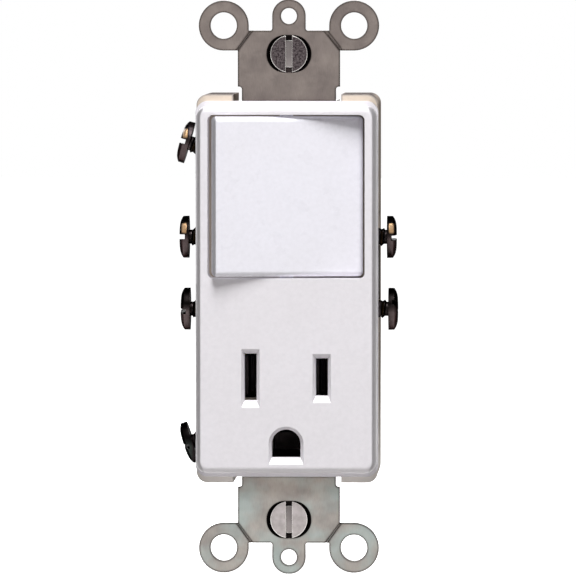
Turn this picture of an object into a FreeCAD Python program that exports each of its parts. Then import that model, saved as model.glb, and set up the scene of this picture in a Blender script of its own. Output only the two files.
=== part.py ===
"""Combination device: a sideways rocker switch above one grounded outlet, on a wrap-around strap.

Frame: +Z up, the face looks along -Y, and Y = 0 is the back of the strap's ears, where the
wall or box edge is. The origin is midway between the two mounting screws. Millimetres.
"""
import FreeCAD, Part
import Sketcher
import math
import os
import re

SIZES = {
    # Shared by many cuts
    "cut_spare": 1.0,              # a cut runs this far past the surface it opens
    "lap": 0.1,                    # neighbouring cuts run this far into each other
    "end_flat": 0.1,               # straight part left between two full end roundings
    # The strap and what fixes it
    "strap_wall": 1.3,             # sheet thickness
    "strap_shift": 0.3,            # strap's centre to the right of the body's
    "plate_lap": 1.0,              # folded strip runs this far into the plate
    "plate_width": 18.25,          # part of the strap that carries the ears
    "plate_near": 35.8,            # where the plate starts, from the centre
    "plate_far": 45.8,             # where the plate ends
    "neck_width": 16.8,            # strap where it enters the body
    "neck_corner": 0.5,            # rounding between neck and plate
    "tab_width": 5.95,             # centre tab with the wall-plate thread
    "tab_corner": 0.4,             # rounding at the tab's root
    "wallplate_spacing": 96.8,     # between the two wall-plate threads
    "wallplate_hole": 2.86,        # thread bore
    "ear_spacing_wide": 23.3,      # between ring ears, across
    "ear_spacing_tall": 93.4,      # between ring ears, up and down
    "ear_outer": 8.9,
    "ear_hole": 4.72,
    "score_width": 0.34,           # break-off groove between ear and plate
    "score_depth": 0.45,
    "score_deep_width": 0.6,       # the groove at the upper right is struck deeper
    "score_deep": 0.8,
    "score_overrun": 0.2,
    "score_inner_x": 6.7,
    "score_outer_z": 42.0,
    "box_spacing": 83.3,           # between the two mounting screws
    "slot_long": 8.05,             # countersunk slot at the face, across
    "slot_tall": 6.75,
    "slot_sink": 1.3,              # how far the slot's sides slope in
    "bend_front": 0.4,             # inner radius where the strap turns into the body
    "bend_back": 0.9,              # inner radius round the back of the body
    "ground_half": 3.8,            # half height of the ground tab
    "ground_tab_front": 5.3,       # front edge of the ground tab
    "ground_wing_high": 24.5,      # upper edge of the ground tab's wing, below the centre
    "ground_wing_low": 30.8,
    "ground_wing_root": 1.0,       # wing runs this far onto the strap
    # Mounting screws and their washers
    "mount_head": 6.6,
    "mount_head_edge": 0.1,        # cylindrical rim above the cone
    "mount_cone": 1.8,
    "mount_neck": 3.0,             # undercut that holds the fibre washer
    "mount_neck_spare": 0.3,       # undercut behind the washer
    "mount_point": 0.5,
    "mount_shank": 3.44,
    "mount_length": 19.0,
    "mount_stand": 0.1,            # head above the strap's face
    "mount_slot_width": 1.15,
    "mount_slot_depth": 0.9,
    "washer_outer": 7.6,
    "washer_wall": 0.8,
    "washer_bore": 4.0,
    "washer_gap": 0.05,
    # Moulded body
    "body_drop": 0.3,              # the moulded body sits this far below the strap's centre
    "housing_width": 32.4,
    "housing_height": 69.4,
    "housing_back": 26.0,
    "housing_corner": 1.9,
    "parting": 1.4,                # plane between cover and housing, in front of the wall plane
    "notch_width": 19.3,           # gap for the strap at each end
    "notch_depth": 2.5,            # from the body's end to the notch floor
    "switch_half": 12.0,           # half width of the switch chamber
    "switch_reach": 13.75,         # half height of the switch chamber
    "floor_depth": 15.0,           # floor under the metal strips
    "relief_half": 14.2,
    "relief_depth": 0.3,
    # Front cover
    "ledge_width": 32.6,
    "ledge_height": 67.1,
    "ledge_depth": 1.9,
    "ledge_corner": 2.1,
    "face_width": 32.2,
    "face_height": 65.3,
    "face_front": 8.0,             # face plane in front of the wall plane
    "face_corner": 2.0,
    "face_round": 1.1,
    "opening_width": 27.9,
    "opening_height": 29.1,
    "opening_corner": 1.0,
    "core_half": 14.0,             # hollow behind the outlet face
    "core_low": 31.3,
    "core_high": 2.4,
    "core_depth": 3.2,
    "boss_reach": 3.7,
    "tongue_x": 12.9,
    "tongue_z": 32.3,
    "tongue_wide": 3.0,
    "tongue_tall": 1.1,
    "tongue_reach": 4.6,
    "tongue_spare": 0.2,
    # Rocker paddle
    "paddle_width": 27.3,
    "paddle_gap": 0.3,             # above and below the paddle
    "paddle_round": 1.0,           # rounding round the paddle's face
    "paddle_corner": 0.8,
    "paddle_skirt": 2.2,           # behind the pivot
    "paddle_taper": 0.45,          # each side draws in this much at the back
    "paddle_wall": 1.8,
    "pivot_depth": 2.5,            # pivot behind the face plane
    "rocker_tilt": 9.0,
    "trunnion": 2.4,
    "trunnion_reach": 1.2,
    "trunnion_gap": 0.1,
    "snap_width": 2.0,
    "leg_outer": 6.0,
    "leg_bore": 4.2,
    "leg_end": 13.2,               # from the pivot
    "leg_bore_depth": 8.2,
    "rib_wall": 1.2,
    "rib_back": 1.6,
    # Plunger and its spring
    "plunger_gap": 0.12,
    "plunger_head": 2.2,
    "plunger_sink": 0.3,           # shoulder below the leg's end
    "plunger_tip": 2.4,
    "tip_gap": 0.08,               # to the seesaw, at mid travel
    "spring_wire": 0.42,
    "spring_gap": 0.2,
    "spring_seat_gap": 0.05,
    "spring_turns": 5.0,
    # Seesaw contact
    "switch_centre": 16.3,         # height of the rocker's and seesaw's middle
    "seesaw_wall": 0.8,
    "seesaw_height": 5.0,
    "seesaw_half": 8.5,
    "seesaw_lift": 0.3,            # wings stand forward of the middle
    "seesaw_knee": 2.4,
    "seesaw_tilt": 6.0,
    "fulcrum_gap": 0.05,
    "fulcrum_wall": 1.0,
    "contact_x": 7.0,
    "contact_across": 3.0,
    "contact_drop": 0.8,           # button below the seesaw's pivot level
    "contact_fixed": 0.85,         # height of the fixed buttons
    "contact_gap": 0.03,           # left between closed buttons
    # Terminal metal
    "strip_wall": 1.0,
    "pad_face": 14.2,              # outer face of the terminal pads
    "pad_half": 4.2,
    "slanted_pad_half": 3.9,
    "pad_front": 4.9,
    "arm_half": 2.25,
    "leg_width": 3.6,
    "fin_out": 16.45,
    "fin_low": 2.4,
    "fin_high": 7.3,
    "fin_hole": 2.2,
    "seat_gap": 0.06,              # round a strip in its channel
    "recess_front": 3.5,
    "recess_back": 16.0,
    "recess_half": 4.5,
    "ground_recess_spare": 0.3,    # above and below the ground tab
    # Terminal screws
    "screw_depth": 9.5,            # axis behind the wall plane
    "upper_row": 8.65,
    "lower_row": 4.3,
    "common_out": 17.65,           # head underside from the centre plane
    "hot_out": 17.9,
    "traveller_out": 17.95,
    "neutral_out": 17.75,
    "slanted_tilt": 16.0,
    "slanted_x": 17.9,
    "slanted_z": 25.52,
    "slanted_travel": 3.75,
    "ground_tilt": 18.0,
    "ground_x": 17.3,
    "ground_z": 28.24,
    "ground_travel": 2.4,
    "screw_head": 7.6,
    "screw_head_wall": 1.7,
    "screw_dome": 0.85,
    "screw_slot_width": 0.85,
    "screw_slot_depth": 0.95,
    "screw_shank": 3.4,
    "screw_length": 5.2,
    "screw_point": 0.5,
    "screw_clear": 0.06,
    "tip_spare": 0.2,              # round a screw's end in the housing
    # Outlet
    "outlet_centre": 15.85,        # blade slots below the origin
    "blade_x": 6.35,
    "blade_wide": 2.16,
    "neutral_tall": 8.4,
    "hot_tall": 6.7,
    "bevel_side": 0.55,
    "bevel_top": 0.8,
    "bevel_low": 1.2,
    "bevel_depth": 0.9,
    "ground_drop": 11.9,           # ground pin below the blades
    "ground_arch": 2.55,
    "ground_flat": 2.45,
    "clip_half": 3.5,
    "clip_wall": 0.7,
    "clip_mouth": 1.4,
    "clip_front": 1.2,
    "clip_flare": 0.7,
    "clip_lean": 0.35,
    "clip_flare_depth": 1.6,
    "chamber_half": 1.95,
    "chamber_spare": 0.4,          # chamber below the blade contact
    "pin_leaf_half": 2.6,          # half width of the folded ground contact
    "pin_leaf_wall": 0.5,
    "pin_mouth": 2.45,             # half opening where the pin enters
    "pin_mouth_front": 4.25,       # mouth in front of the wall plane
    "pin_throat": 1.75,            # half opening at the narrowest place
    "pin_throat_front": 1.7,
    "pin_back": 2.0,               # half opening at the fold
    "pin_base": 12.0,              # back of the fold
    "rivet_shank": 2.9,
    "rivet_head": 4.6,
    "rivet_inner": 3.8,
    "rivet_head_wall": 0.9,
    # Screws that hold the cover to the housing
    "assembly_upper_x": 10.6,
    "assembly_upper_z": 0.0,
    "assembly_lower_x": 10.9,
    "assembly_lower_z": -22.0,
    "assembly_head": 4.0,
    "assembly_head_wall": 1.4,
    "assembly_shank": 2.0,
    "assembly_clear": 0.15,
    "assembly_sink": 1.8,
    "assembly_bite": 4.0,
    "boss_outer": 4.2,
}

doc = FreeCAD.newDocument("combination_device")
sheet = doc.addObject("Spreadsheet::Sheet", "sizes")
for row, (alias, number) in enumerate(SIZES.items(), start=1):
    sheet.set(f"A{row}", alias)
    sheet.set(f"B{row}", str(number))
    sheet.setAlias(f"B{row}", alias)
doc.recompute()

AXES = {"x": FreeCAD.Vector(1, 0, 0), "y": FreeCAD.Vector(0, 1, 0), "z": FreeCAD.Vector(0, 0, 1)}


def tied(text):
    """Turn names of sizes into references to the sheet."""
    def refer(word):
        return f"sizes.{word.group(0)}" if word.group(0) in SIZES else word.group(0)
    return re.sub(r"[a-z_]+", refer, text)


def value(text):
    """The number that an expression gives now."""
    return float(sheet.evalExpression(tied(text)))


# Places that several pieces share, worked out from the sizes
CENTRE = "(-body_drop)"
FLOOR_TOP = f"({CENTRE} + (housing_height/2 - notch_depth))"
FLOOR_LOW = f"({CENTRE} - (housing_height/2 - notch_depth))"
FACE_TOP = f"({CENTRE} + face_height/2)"
OPENING_LOW = "(switch_centre - opening_height/2)"
OPENING_HIGH = "(switch_centre + opening_height/2)"
PADDLE_LOW = f"({OPENING_LOW} + paddle_gap)"
PADDLE_HIGH = f"({OPENING_HIGH} - paddle_gap)"
CLIP_LOW = "(-outlet_centre - clip_half)"
PIN = "(-outlet_centre - ground_drop)"
PIVOT = "(pivot_depth - face_front)"
STRIP_FRONT = "(floor_depth - strip_wall)"
SEESAW_LEVEL = (f"({STRIP_FRONT} - contact_fixed - contact_gap - contact_drop*cos(seesaw_tilt)"
                " - (contact_x + contact_across/2)*sin(seesaw_tilt))")
TIP_REACH = f"({SEESAW_LEVEL} - seesaw_wall - {PIVOT} - tip_gap)"
STRAP_BACK = "(housing_back + strap_wall)"
TAB_END = "(wallplate_spacing/2 + tab_width/2)"


# Helpers for PartDesign bodies

def new_body(label):
    body = doc.addObject("PartDesign::Body", label)
    body.Label = label
    return body


def sketch_on(body, role, away, name):
    """A sketch on one of the body's own planes, moved along the plane's normal."""
    plane = next(feature for feature in body.Origin.OriginFeatures if feature.Role == role)
    sketch = body.newObject("Sketcher::SketchObject", name)
    sketch.AttachmentSupport = [(plane, "")]
    sketch.MapMode = "FlatFace"
    sketch.setExpression("AttachmentOffset.Base.z", tied(away))
    return sketch


def facing(body, depth, name):
    """A sketch seen from the front, at a depth along Y."""
    return sketch_on(body, "XZ_Plane", f"0 - ({depth})", name)


def hold(sketch, kind, line, point, text):
    """Fix one coordinate of a sketch point to an expression."""
    row = sketch.addConstraint(Sketcher.Constraint(kind, line, point, value(text)))
    sketch.setExpression(f"Constraints[{row}]", tied(text))


def polygon(sketch, points):
    """A closed outline of straight lines through (across, up) expressions."""
    first = sketch.GeometryCount
    spots = [FreeCAD.Vector(value(across), value(up), 0) for across, up in points]
    for here, there in zip(spots, spots[1:] + spots[:1]):
        sketch.addGeometry(Part.LineSegment(here, there))
    for index, (across, up) in enumerate(points):
        before = first + (index - 1) % len(points)
        sketch.addConstraint(Sketcher.Constraint("Coincident", before, 2, first + index, 1))
        hold(sketch, "DistanceX", first + index, 1, across)
        hold(sketch, "DistanceY", first + index, 1, up)


def rectangle(sketch, left, right, low, high):
    polygon(sketch, [(left, low), (right, low), (right, high), (left, high)])


def circle(sketch, across, up, radius):
    index = sketch.addGeometry(Part.Circle(
        FreeCAD.Vector(value(across), value(up), 0), AXES["z"], value(radius)))
    hold(sketch, "DistanceX", index, 3, across)
    hold(sketch, "DistanceY", index, 3, up)
    row = sketch.addConstraint(Sketcher.Constraint("Radius", index, value(radius)))
    sketch.setExpression(f"Constraints[{row}]", tied(radius))


def rounded(sketch, left, right, low, high, radius):
    """A rectangle with round corners."""
    round_by = value(radius)
    edge_left, edge_right, edge_low, edge_high = map(value, (left, right, low, high))
    first = sketch.GeometryCount
    corners = [(edge_right - round_by, edge_low + round_by, 270),
               (edge_right - round_by, edge_high - round_by, 0),
               (edge_left + round_by, edge_high - round_by, 90),
               (edge_left + round_by, edge_low + round_by, 180)]
    for index, (across, up, start) in enumerate(corners):
        before_across, before_up, _ = corners[index - 1]
        out = FreeCAD.Vector(math.cos(math.radians(start)), math.sin(math.radians(start)), 0)
        sketch.addGeometry(Part.LineSegment(
            FreeCAD.Vector(before_across, before_up, 0) + out * round_by,
            FreeCAD.Vector(across, up, 0) + out * round_by))
        sketch.addGeometry(Part.ArcOfCircle(
            Part.Circle(FreeCAD.Vector(across, up, 0), AXES["z"], round_by),
            math.radians(start), math.radians(start + 90)))
    for index in range(4):
        line, arc, following = first + 2 * index, first + 2 * index + 1, first + (2 * index + 2) % 8
        sketch.addConstraint(Sketcher.Constraint("Tangent", line, 2, arc, 1))
        sketch.addConstraint(Sketcher.Constraint("Tangent", arc, 2, following, 1))
        sketch.addConstraint(Sketcher.Constraint("Vertical" if index % 2 else "Horizontal", line))
        if index:
            sketch.addConstraint(Sketcher.Constraint("Equal", first + 1, arc))
    row = sketch.addConstraint(Sketcher.Constraint("Radius", first + 1, round_by))
    sketch.setExpression(f"Constraints[{row}]", tied(radius))
    hold(sketch, "DistanceY", first, 1, low)
    hold(sketch, "DistanceX", first + 2, 1, right)
    hold(sketch, "DistanceY", first + 4, 1, high)
    hold(sketch, "DistanceX", first + 6, 1, left)


def pad(body, sketch, length, name, reverse=False, middle=False):
    feature = body.newObject("PartDesign::Pad", name)
    feature.Profile = sketch
    feature.setExpression("Length", tied(length))
    feature.Reversed = reverse
    feature.SideType = "Symmetric" if middle else "One side"
    doc.recompute()
    return feature


def pocket(body, sketch, length, name, forward=False, middle=False):
    """Cut towards +Y from a facing sketch, or towards -Y when forward. It has to remove something."""
    before = body.Shape.Volume
    feature = body.newObject("PartDesign::Pocket", name)
    feature.Profile = sketch
    feature.setExpression("Length", tied(length))
    feature.Reversed = forward
    feature.SideType = "Symmetric" if middle else "One side"
    doc.recompute()
    if body.Shape.Volume > before - 1e-6:
        raise ValueError(f"{name} cuts nothing")
    return feature


def taper_cut(body, outer, inner, name):
    """Cut the space between two sketches."""
    before = body.Shape.Volume
    feature = body.newObject("PartDesign::SubtractiveLoft", name)
    feature.Profile = outer
    feature.Sections = [inner]
    feature.Ruled = True
    doc.recompute()
    if body.Shape.Volume > before - 1e-6:
        raise ValueError(f"{name} cuts nothing")


def dress(body, kind, name, size, wanted):
    """Fillet or chamfer the edges of the body for which wanted(edge's middle, edge) holds."""
    shape = body.Shape
    names = []
    for index, edge in enumerate(shape.Edges, start=1):
        middle = edge.valueAt((edge.FirstParameter + edge.LastParameter) / 2)
        if wanted(middle, edge):
            names.append(f"Edge{index}")
    if not names:
        raise ValueError(f"{name} finds no edge")
    base = body.Tip
    feature = body.newObject(f"PartDesign::{kind}", name)
    feature.Base = (base, names)
    feature.setExpression("Radius" if kind == "Fillet" else "Size", tied(size))
    doc.recompute()


def near(one, other):
    return abs(one - other) < 0.01


def along(edge, axis):
    """Whether an edge is straight along an axis."""
    straight = isinstance(edge.Curve, Part.Line)
    return straight and abs(edge.Curve.Direction.dot(AXES[axis])) > 0.999


# Helpers for primitives and booleans

def box(name, across, depth, up):
    """A block between two places on each axis."""
    block = doc.addObject("Part::Box", name)
    for side, (low, high) in zip(("Length", "Width", "Height"), (across, depth, up)):
        block.setExpression(side, tied(f"({high}) - ({low})"))
    for axis, (low, _) in zip("xyz", (across, depth, up)):
        block.setExpression(f"Placement.Base.{axis}", tied(low))
    return block


def rod(name, axis, start, radius, length):
    """A cylinder that starts at a place and runs along an axis."""
    cylinder = doc.addObject("Part::Cylinder", name)
    cylinder.Placement.Rotation = FreeCAD.Rotation(AXES["z"], AXES[axis])
    cylinder.setExpression("Radius", tied(radius))
    cylinder.setExpression("Height", tied(length))
    for side, text in zip("xyz", start):
        cylinder.setExpression(f"Placement.Base.{side}", tied(text))
    return cylinder


def fuse(label, shapes):
    joined = doc.addObject("Part::MultiFuse", label)
    joined.Shapes = shapes
    joined.Refine = True
    joined.Label = label
    return joined


def cut(label, base, tools):
    result = doc.addObject("Part::Cut", label)
    result.Base = base
    result.Tool = fuse(f"{label}_cutters", tools) if len(tools) > 1 else tools[0]
    result.Refine = True
    result.Label = label
    return result


def slanted(seat, outward, reach, half):
    """A rectangle seen from the front: reach is along the outward direction, half across it."""
    (seat_x, seat_z), (out_x, out_z) = seat, outward
    points = []
    for near_far, side in ((0, "-"), (1, "-"), (1, "+"), (0, "+")):
        run = reach[near_far]
        points.append((f"{seat_x} + ({run})*({out_x}) {side} ({half})*({out_z})",
                       f"{seat_z} + ({run})*({out_z}) {'+' if side == '-' else '-'} ({half})*({out_x})"))
    return points


# Where the two slanted screws seat, as (across, up), and the way that they point
UPPER_OUT = ("-cos(slanted_tilt)", "sin(slanted_tilt)")
UPPER_SEAT = ("-slanted_x + slanted_travel*cos(slanted_tilt)",
              "slanted_z - slanted_travel*sin(slanted_tilt)")
GROUND_OUT = ("-cos(ground_tilt)", "-sin(ground_tilt)")
GROUND_SEAT = ("-ground_x + ground_travel*cos(ground_tilt)",
               "-ground_z + ground_travel*sin(ground_tilt)")

ROWS = {"upper": "upper_row", "lower": "-lower_row"}
ASSEMBLY = [(side, f"{side}assembly_{level}_x", f"assembly_{level}_z")
            for level in ("upper", "lower") for side in ("-", "")]


def make_front_cover():
    """The white moulding with the rocker opening, the outlet face and the ledge round it."""
    body = new_body("front_cover")
    ledge = facing(body, "-parting", "ledge_outline")
    rounded(ledge, "-ledge_width/2", "ledge_width/2", f"{CENTRE} - ledge_height/2",
            f"{CENTRE} + ledge_height/2", "ledge_corner")
    pad(body, ledge, "ledge_depth", "ledge")
    face = facing(body, "-parting", "face_outline")
    rounded(face, "-face_width/2", "face_width/2", f"{CENTRE} - face_height/2", FACE_TOP,
            "face_corner")
    pad(body, face, "face_front - parting", "face")
    front = -value("face_front")
    dress(body, "Fillet", "face_rounding", "face_round",
          lambda middle, edge: near(middle.y, front))

    opening = facing(body, "-parting", "opening_outline")
    rounded(opening, "-opening_width/2", "opening_width/2", OPENING_LOW, OPENING_HIGH,
            "opening_corner")
    pocket(body, opening, "face_front - parting", "rocker_opening", forward=True)
    core = facing(body, "-parting", "core_outline")
    rounded(core, "-core_half", "core_half", "-core_low", "-core_high", "face_corner")
    pocket(body, core, "core_depth", "outlet_core", forward=True)

    bosses = facing(body, "-parting", "boss_outline")
    for side in ("-", ""):
        circle(bosses, f"{side}assembly_lower_x", "assembly_lower_z", "boss_outer/2")
    pad(body, bosses, "boss_reach", "screw_bosses")
    pilots = facing(body, "-parting", "pilot_outline")
    for _, across, up in ASSEMBLY:
        circle(pilots, across, up, "assembly_shank/2")
    pocket(body, pilots, "assembly_bite + assembly_clear", "pilot_holes", forward=True)

    for name, start, reverse in (("upper", OPENING_HIGH, True), ("lower", OPENING_LOW, False)):
        journal = sketch_on(body, "XY_Plane", start, f"journal_{name}")
        circle(journal, "0", PIVOT, "trunnion/2 + trunnion_gap")
        pocket(body, journal, "trunnion_reach", f"journal_{name}_hole", forward=reverse)
        lead = sketch_on(body, "XY_Plane", start, f"lead_{name}")
        rectangle(lead, "-snap_width/2", "snap_width/2", PIVOT, "-parting")
        pocket(body, lead, "trunnion_reach", f"lead_{name}_slot", forward=reverse)

    for name, side, tall in (("neutral", "-", "neutral_tall"), ("hot", "", "hot_tall")):
        middle, height = f"({side}blade_x)", "(-outlet_centre)"
        slot = facing(body, "-face_front", f"{name}_slot_outline")
        edges = (f"{middle} - blade_wide/2", f"{middle} + blade_wide/2",
                 f"{height} - {tall}/2", f"{height} + {tall}/2")
        rectangle(slot, *edges)
        pocket(body, slot, "face_front - parting", f"{name}_slot")
        outer = facing(body, "-face_front", f"{name}_bevel_outer")
        rectangle(outer, f"{edges[0]} - bevel_side", f"{edges[1]} + bevel_side",
                  f"{edges[2]} - bevel_low", f"{edges[3]} + bevel_top")
        inner = facing(body, "bevel_depth - face_front", f"{name}_bevel_inner")
        rectangle(inner, *edges)
        taper_cut(body, outer, inner, f"{name}_bevel")

    shapes = []
    for name, depth, spare in (("hole", "-face_front", ("0", "0")),
                               ("bevel_outer", "-face_front", ("bevel_side", "bevel_low")),
                               ("bevel_inner", "bevel_depth - face_front", ("0", "0"))):
        arch = facing(body, depth, f"ground_{name}")
        arched(arch, f"ground_arch + {spare[0]}", f"ground_flat + {spare[1]}")
        shapes.append(arch)
    pocket(body, shapes[0], "face_front - parting", "ground_opening")
    taper_cut(body, shapes[1], shapes[2], "ground_bevel")

    tongues = facing(body, "-parting", "tongue_outline")
    for side in ("-", ""):
        rectangle(tongues, f"{side}tongue_x - tongue_wide/2", f"{side}tongue_x + tongue_wide/2",
                  "tongue_z - tongue_tall/2", "tongue_z + tongue_tall/2")
    pad(body, tongues, "tongue_reach", "tongues", reverse=True)
    return body


def arched(sketch, radius, flat):
    """The ground opening: an arch on top of a flat-bottomed hole."""
    middle = PIN
    centre = FreeCAD.Vector(0, value(middle), 0)
    arc = sketch.addGeometry(Part.ArcOfCircle(
        Part.Circle(centre, AXES["z"], value(radius)), 0, math.pi))
    hold(sketch, "DistanceX", arc, 3, "0")
    hold(sketch, "DistanceY", arc, 3, middle)
    row = sketch.addConstraint(Sketcher.Constraint("Radius", arc, value(radius)))
    sketch.setExpression(f"Constraints[{row}]", tied(radius))
    hold(sketch, "DistanceY", arc, 1, middle)
    hold(sketch, "DistanceY", arc, 2, middle)
    low = f"{middle} - ({flat})"
    corners = [(f"-({radius})", middle), (f"-({radius})", low), (radius, low), (radius, middle)]
    spots = [FreeCAD.Vector(value(across), value(up), 0) for across, up in corners]
    lines = [sketch.addGeometry(Part.LineSegment(here, there))
             for here, there in zip(spots, spots[1:])]
    sketch.addConstraint(Sketcher.Constraint("Coincident", arc, 2, lines[0], 1))
    sketch.addConstraint(Sketcher.Constraint("Coincident", lines[0], 2, lines[1], 1))
    sketch.addConstraint(Sketcher.Constraint("Coincident", lines[1], 2, lines[2], 1))
    sketch.addConstraint(Sketcher.Constraint("Coincident", lines[2], 2, arc, 1))
    for index, kind in enumerate(("Vertical", "Horizontal", "Vertical")):
        sketch.addConstraint(Sketcher.Constraint(kind, lines[index]))
    hold(sketch, "DistanceY", lines[1], 1, low)


def make_back_housing():
    """The ivory moulding behind the cover, with a chamber for each metal piece."""
    body = new_body("back_housing")
    block = facing(body, "-parting", "housing_outline")
    rounded(block, "-housing_width/2", "housing_width/2", f"{CENTRE} - housing_height/2",
            f"{CENTRE} + housing_height/2", "housing_corner")
    pad(body, block, "housing_back + parting", "block", reverse=True)

    notches = facing(body, "-parting", "notch_outline")
    rectangle(notches, "-notch_width/2", "notch_width/2", FLOOR_TOP,
              f"{CENTRE} + housing_height/2 + cut_spare")
    rectangle(notches, "-notch_width/2", "notch_width/2",
              f"{CENTRE} - housing_height/2 - cut_spare", FLOOR_LOW)
    pocket(body, notches, "housing_back + parting", "strap_notches")
    back, floors = value("housing_back"), (value(FLOOR_TOP), value(FLOOR_LOW))
    dress(body, "Fillet", "strap_corner", "bend_back",
          lambda middle, edge: near(middle.y, back) and along(edge, "x")
          and any(near(middle.z, floor) for floor in floors))

    def layer(name, front, depth, draw):
        sketch = facing(body, front, f"{name}_outline")
        draw(sketch)
        pocket(body, sketch, f"({depth}) - ({front})", name)

    layer("paddle_relief", "-parting", "relief_depth - parting", lambda sketch: rounded(
        sketch, "-relief_half", "relief_half", OPENING_LOW, OPENING_HIGH, "opening_corner"))
    layer("switch_chamber", "-parting", "floor_depth", lambda sketch: rounded(
        sketch, "-switch_half", "switch_half", "switch_centre - switch_reach",
        "switch_centre + switch_reach", "opening_corner"))

    def chambers(sketch):
        for side in ("-", ""):
            rectangle(sketch, f"{side}blade_x - chamber_half", f"{side}blade_x + chamber_half",
                      f"{CLIP_LOW} - chamber_spare", "-lower_row + arm_half + seat_gap")
    layer("blade_chambers", "-parting", "floor_depth", chambers)
    pin_room = "(pin_back + pin_leaf_wall + 2*seat_gap)"
    layer("pin_chamber", "-parting", "pin_base", lambda sketch: rectangle(
        sketch, "-pin_leaf_half - seat_gap", "pin_leaf_half + seat_gap",
        f"{PIN} - {pin_room}", f"{PIN} + {pin_room}"))
    layer("rivet_hole", "pin_base", "housing_back", lambda sketch: circle(
        sketch, "0", PIN, "rivet_shank/2 + seat_gap"))

    recess_x = "pad_face - strip_wall"
    outside = "housing_width/2 + cut_spare"

    def recesses(sketch):
        rectangle(sketch, recess_x, outside, "-lower_row - recess_half", "upper_row + recess_half")
        for row in ROWS.values():
            rectangle(sketch, f"-({outside})", f"-({recess_x})", f"{row} - recess_half",
                      f"{row} + recess_half")
        polygon(sketch, slanted(UPPER_SEAT, UPPER_OUT, ("-strip_wall", "slanted_travel"),
                                "recess_half"))
    layer("terminal_recesses", "recess_front", "recess_back", recesses)
    layer("ground_recess", "recess_front", "housing_back", lambda sketch: polygon(
        sketch, slanted(GROUND_SEAT, GROUND_OUT, ("-strap_wall", "ground_travel + cut_spare"),
                        "ground_half + ground_recess_spare")))

    tip = "screw_length + tip_spare"
    reach_in = f"pad_face - ({tip})"
    clear = "screw_shank/2 + tip_spare"

    def tips(sketch):
        for row in ROWS.values():
            rectangle(sketch, reach_in, f"{recess_x} + lap", f"{row} - ({clear})",
                      f"{row} + {clear}")
            rectangle(sketch, f"-({recess_x} + lap)", f"-({reach_in})", f"{row} - ({clear})",
                      f"{row} + {clear}")
        for seat, outward, wall in ((UPPER_SEAT, UPPER_OUT, "strip_wall"),
                                    (GROUND_SEAT, GROUND_OUT, "strap_wall")):
            polygon(sketch, slanted(seat, outward, (f"-({tip})", f"lap - {wall}"), clear))
    layer("screw_tips", f"screw_depth - ({clear})", f"screw_depth + {clear}", tips)

    def arms(sketch):
        wide = "arm_half + seat_gap"
        for side, low, high in (("upper_row", "switch_half - lap", f"{recess_x} + lap"),
                                ("-lower_row", "blade_x + chamber_half - lap",
                                 f"{recess_x} + lap")):
            rectangle(sketch, low, high, f"{side} - ({wide})", f"{side} + {wide}")
            rectangle(sketch, f"-({high})", f"-({low})", f"{side} - ({wide})", f"{side} + {wide}")
        rectangle(sketch, f"{UPPER_SEAT[0]} + strip_wall/2", "lap - switch_half",
                  f"{UPPER_SEAT[1]} - ({wide})", f"{UPPER_SEAT[1]} + {wide}")
    layer("arm_slots", f"{STRIP_FRONT} - seat_gap", "floor_depth", arms)

    def screws(radius):
        def draw(sketch):
            for _, across, up in ASSEMBLY:
                circle(sketch, across, up, radius)
        return draw
    layer("assembly_holes", "-parting", "housing_back",
          screws("assembly_shank/2 + assembly_clear"))
    layer("assembly_sinks", "housing_back - assembly_sink", "housing_back",
          screws("assembly_head/2 + assembly_clear"))

    def sockets(sketch):
        for side in ("-", ""):
            rectangle(sketch, f"{side}tongue_x - tongue_wide/2 - seat_gap",
                      f"{side}tongue_x + tongue_wide/2 + seat_gap",
                      "tongue_z - tongue_tall/2 - seat_gap", "tongue_z + tongue_tall/2 + seat_gap")
    layer("tongue_sockets", "-parting", "tongue_reach - parting + tongue_spare", sockets)
    return body


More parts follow.
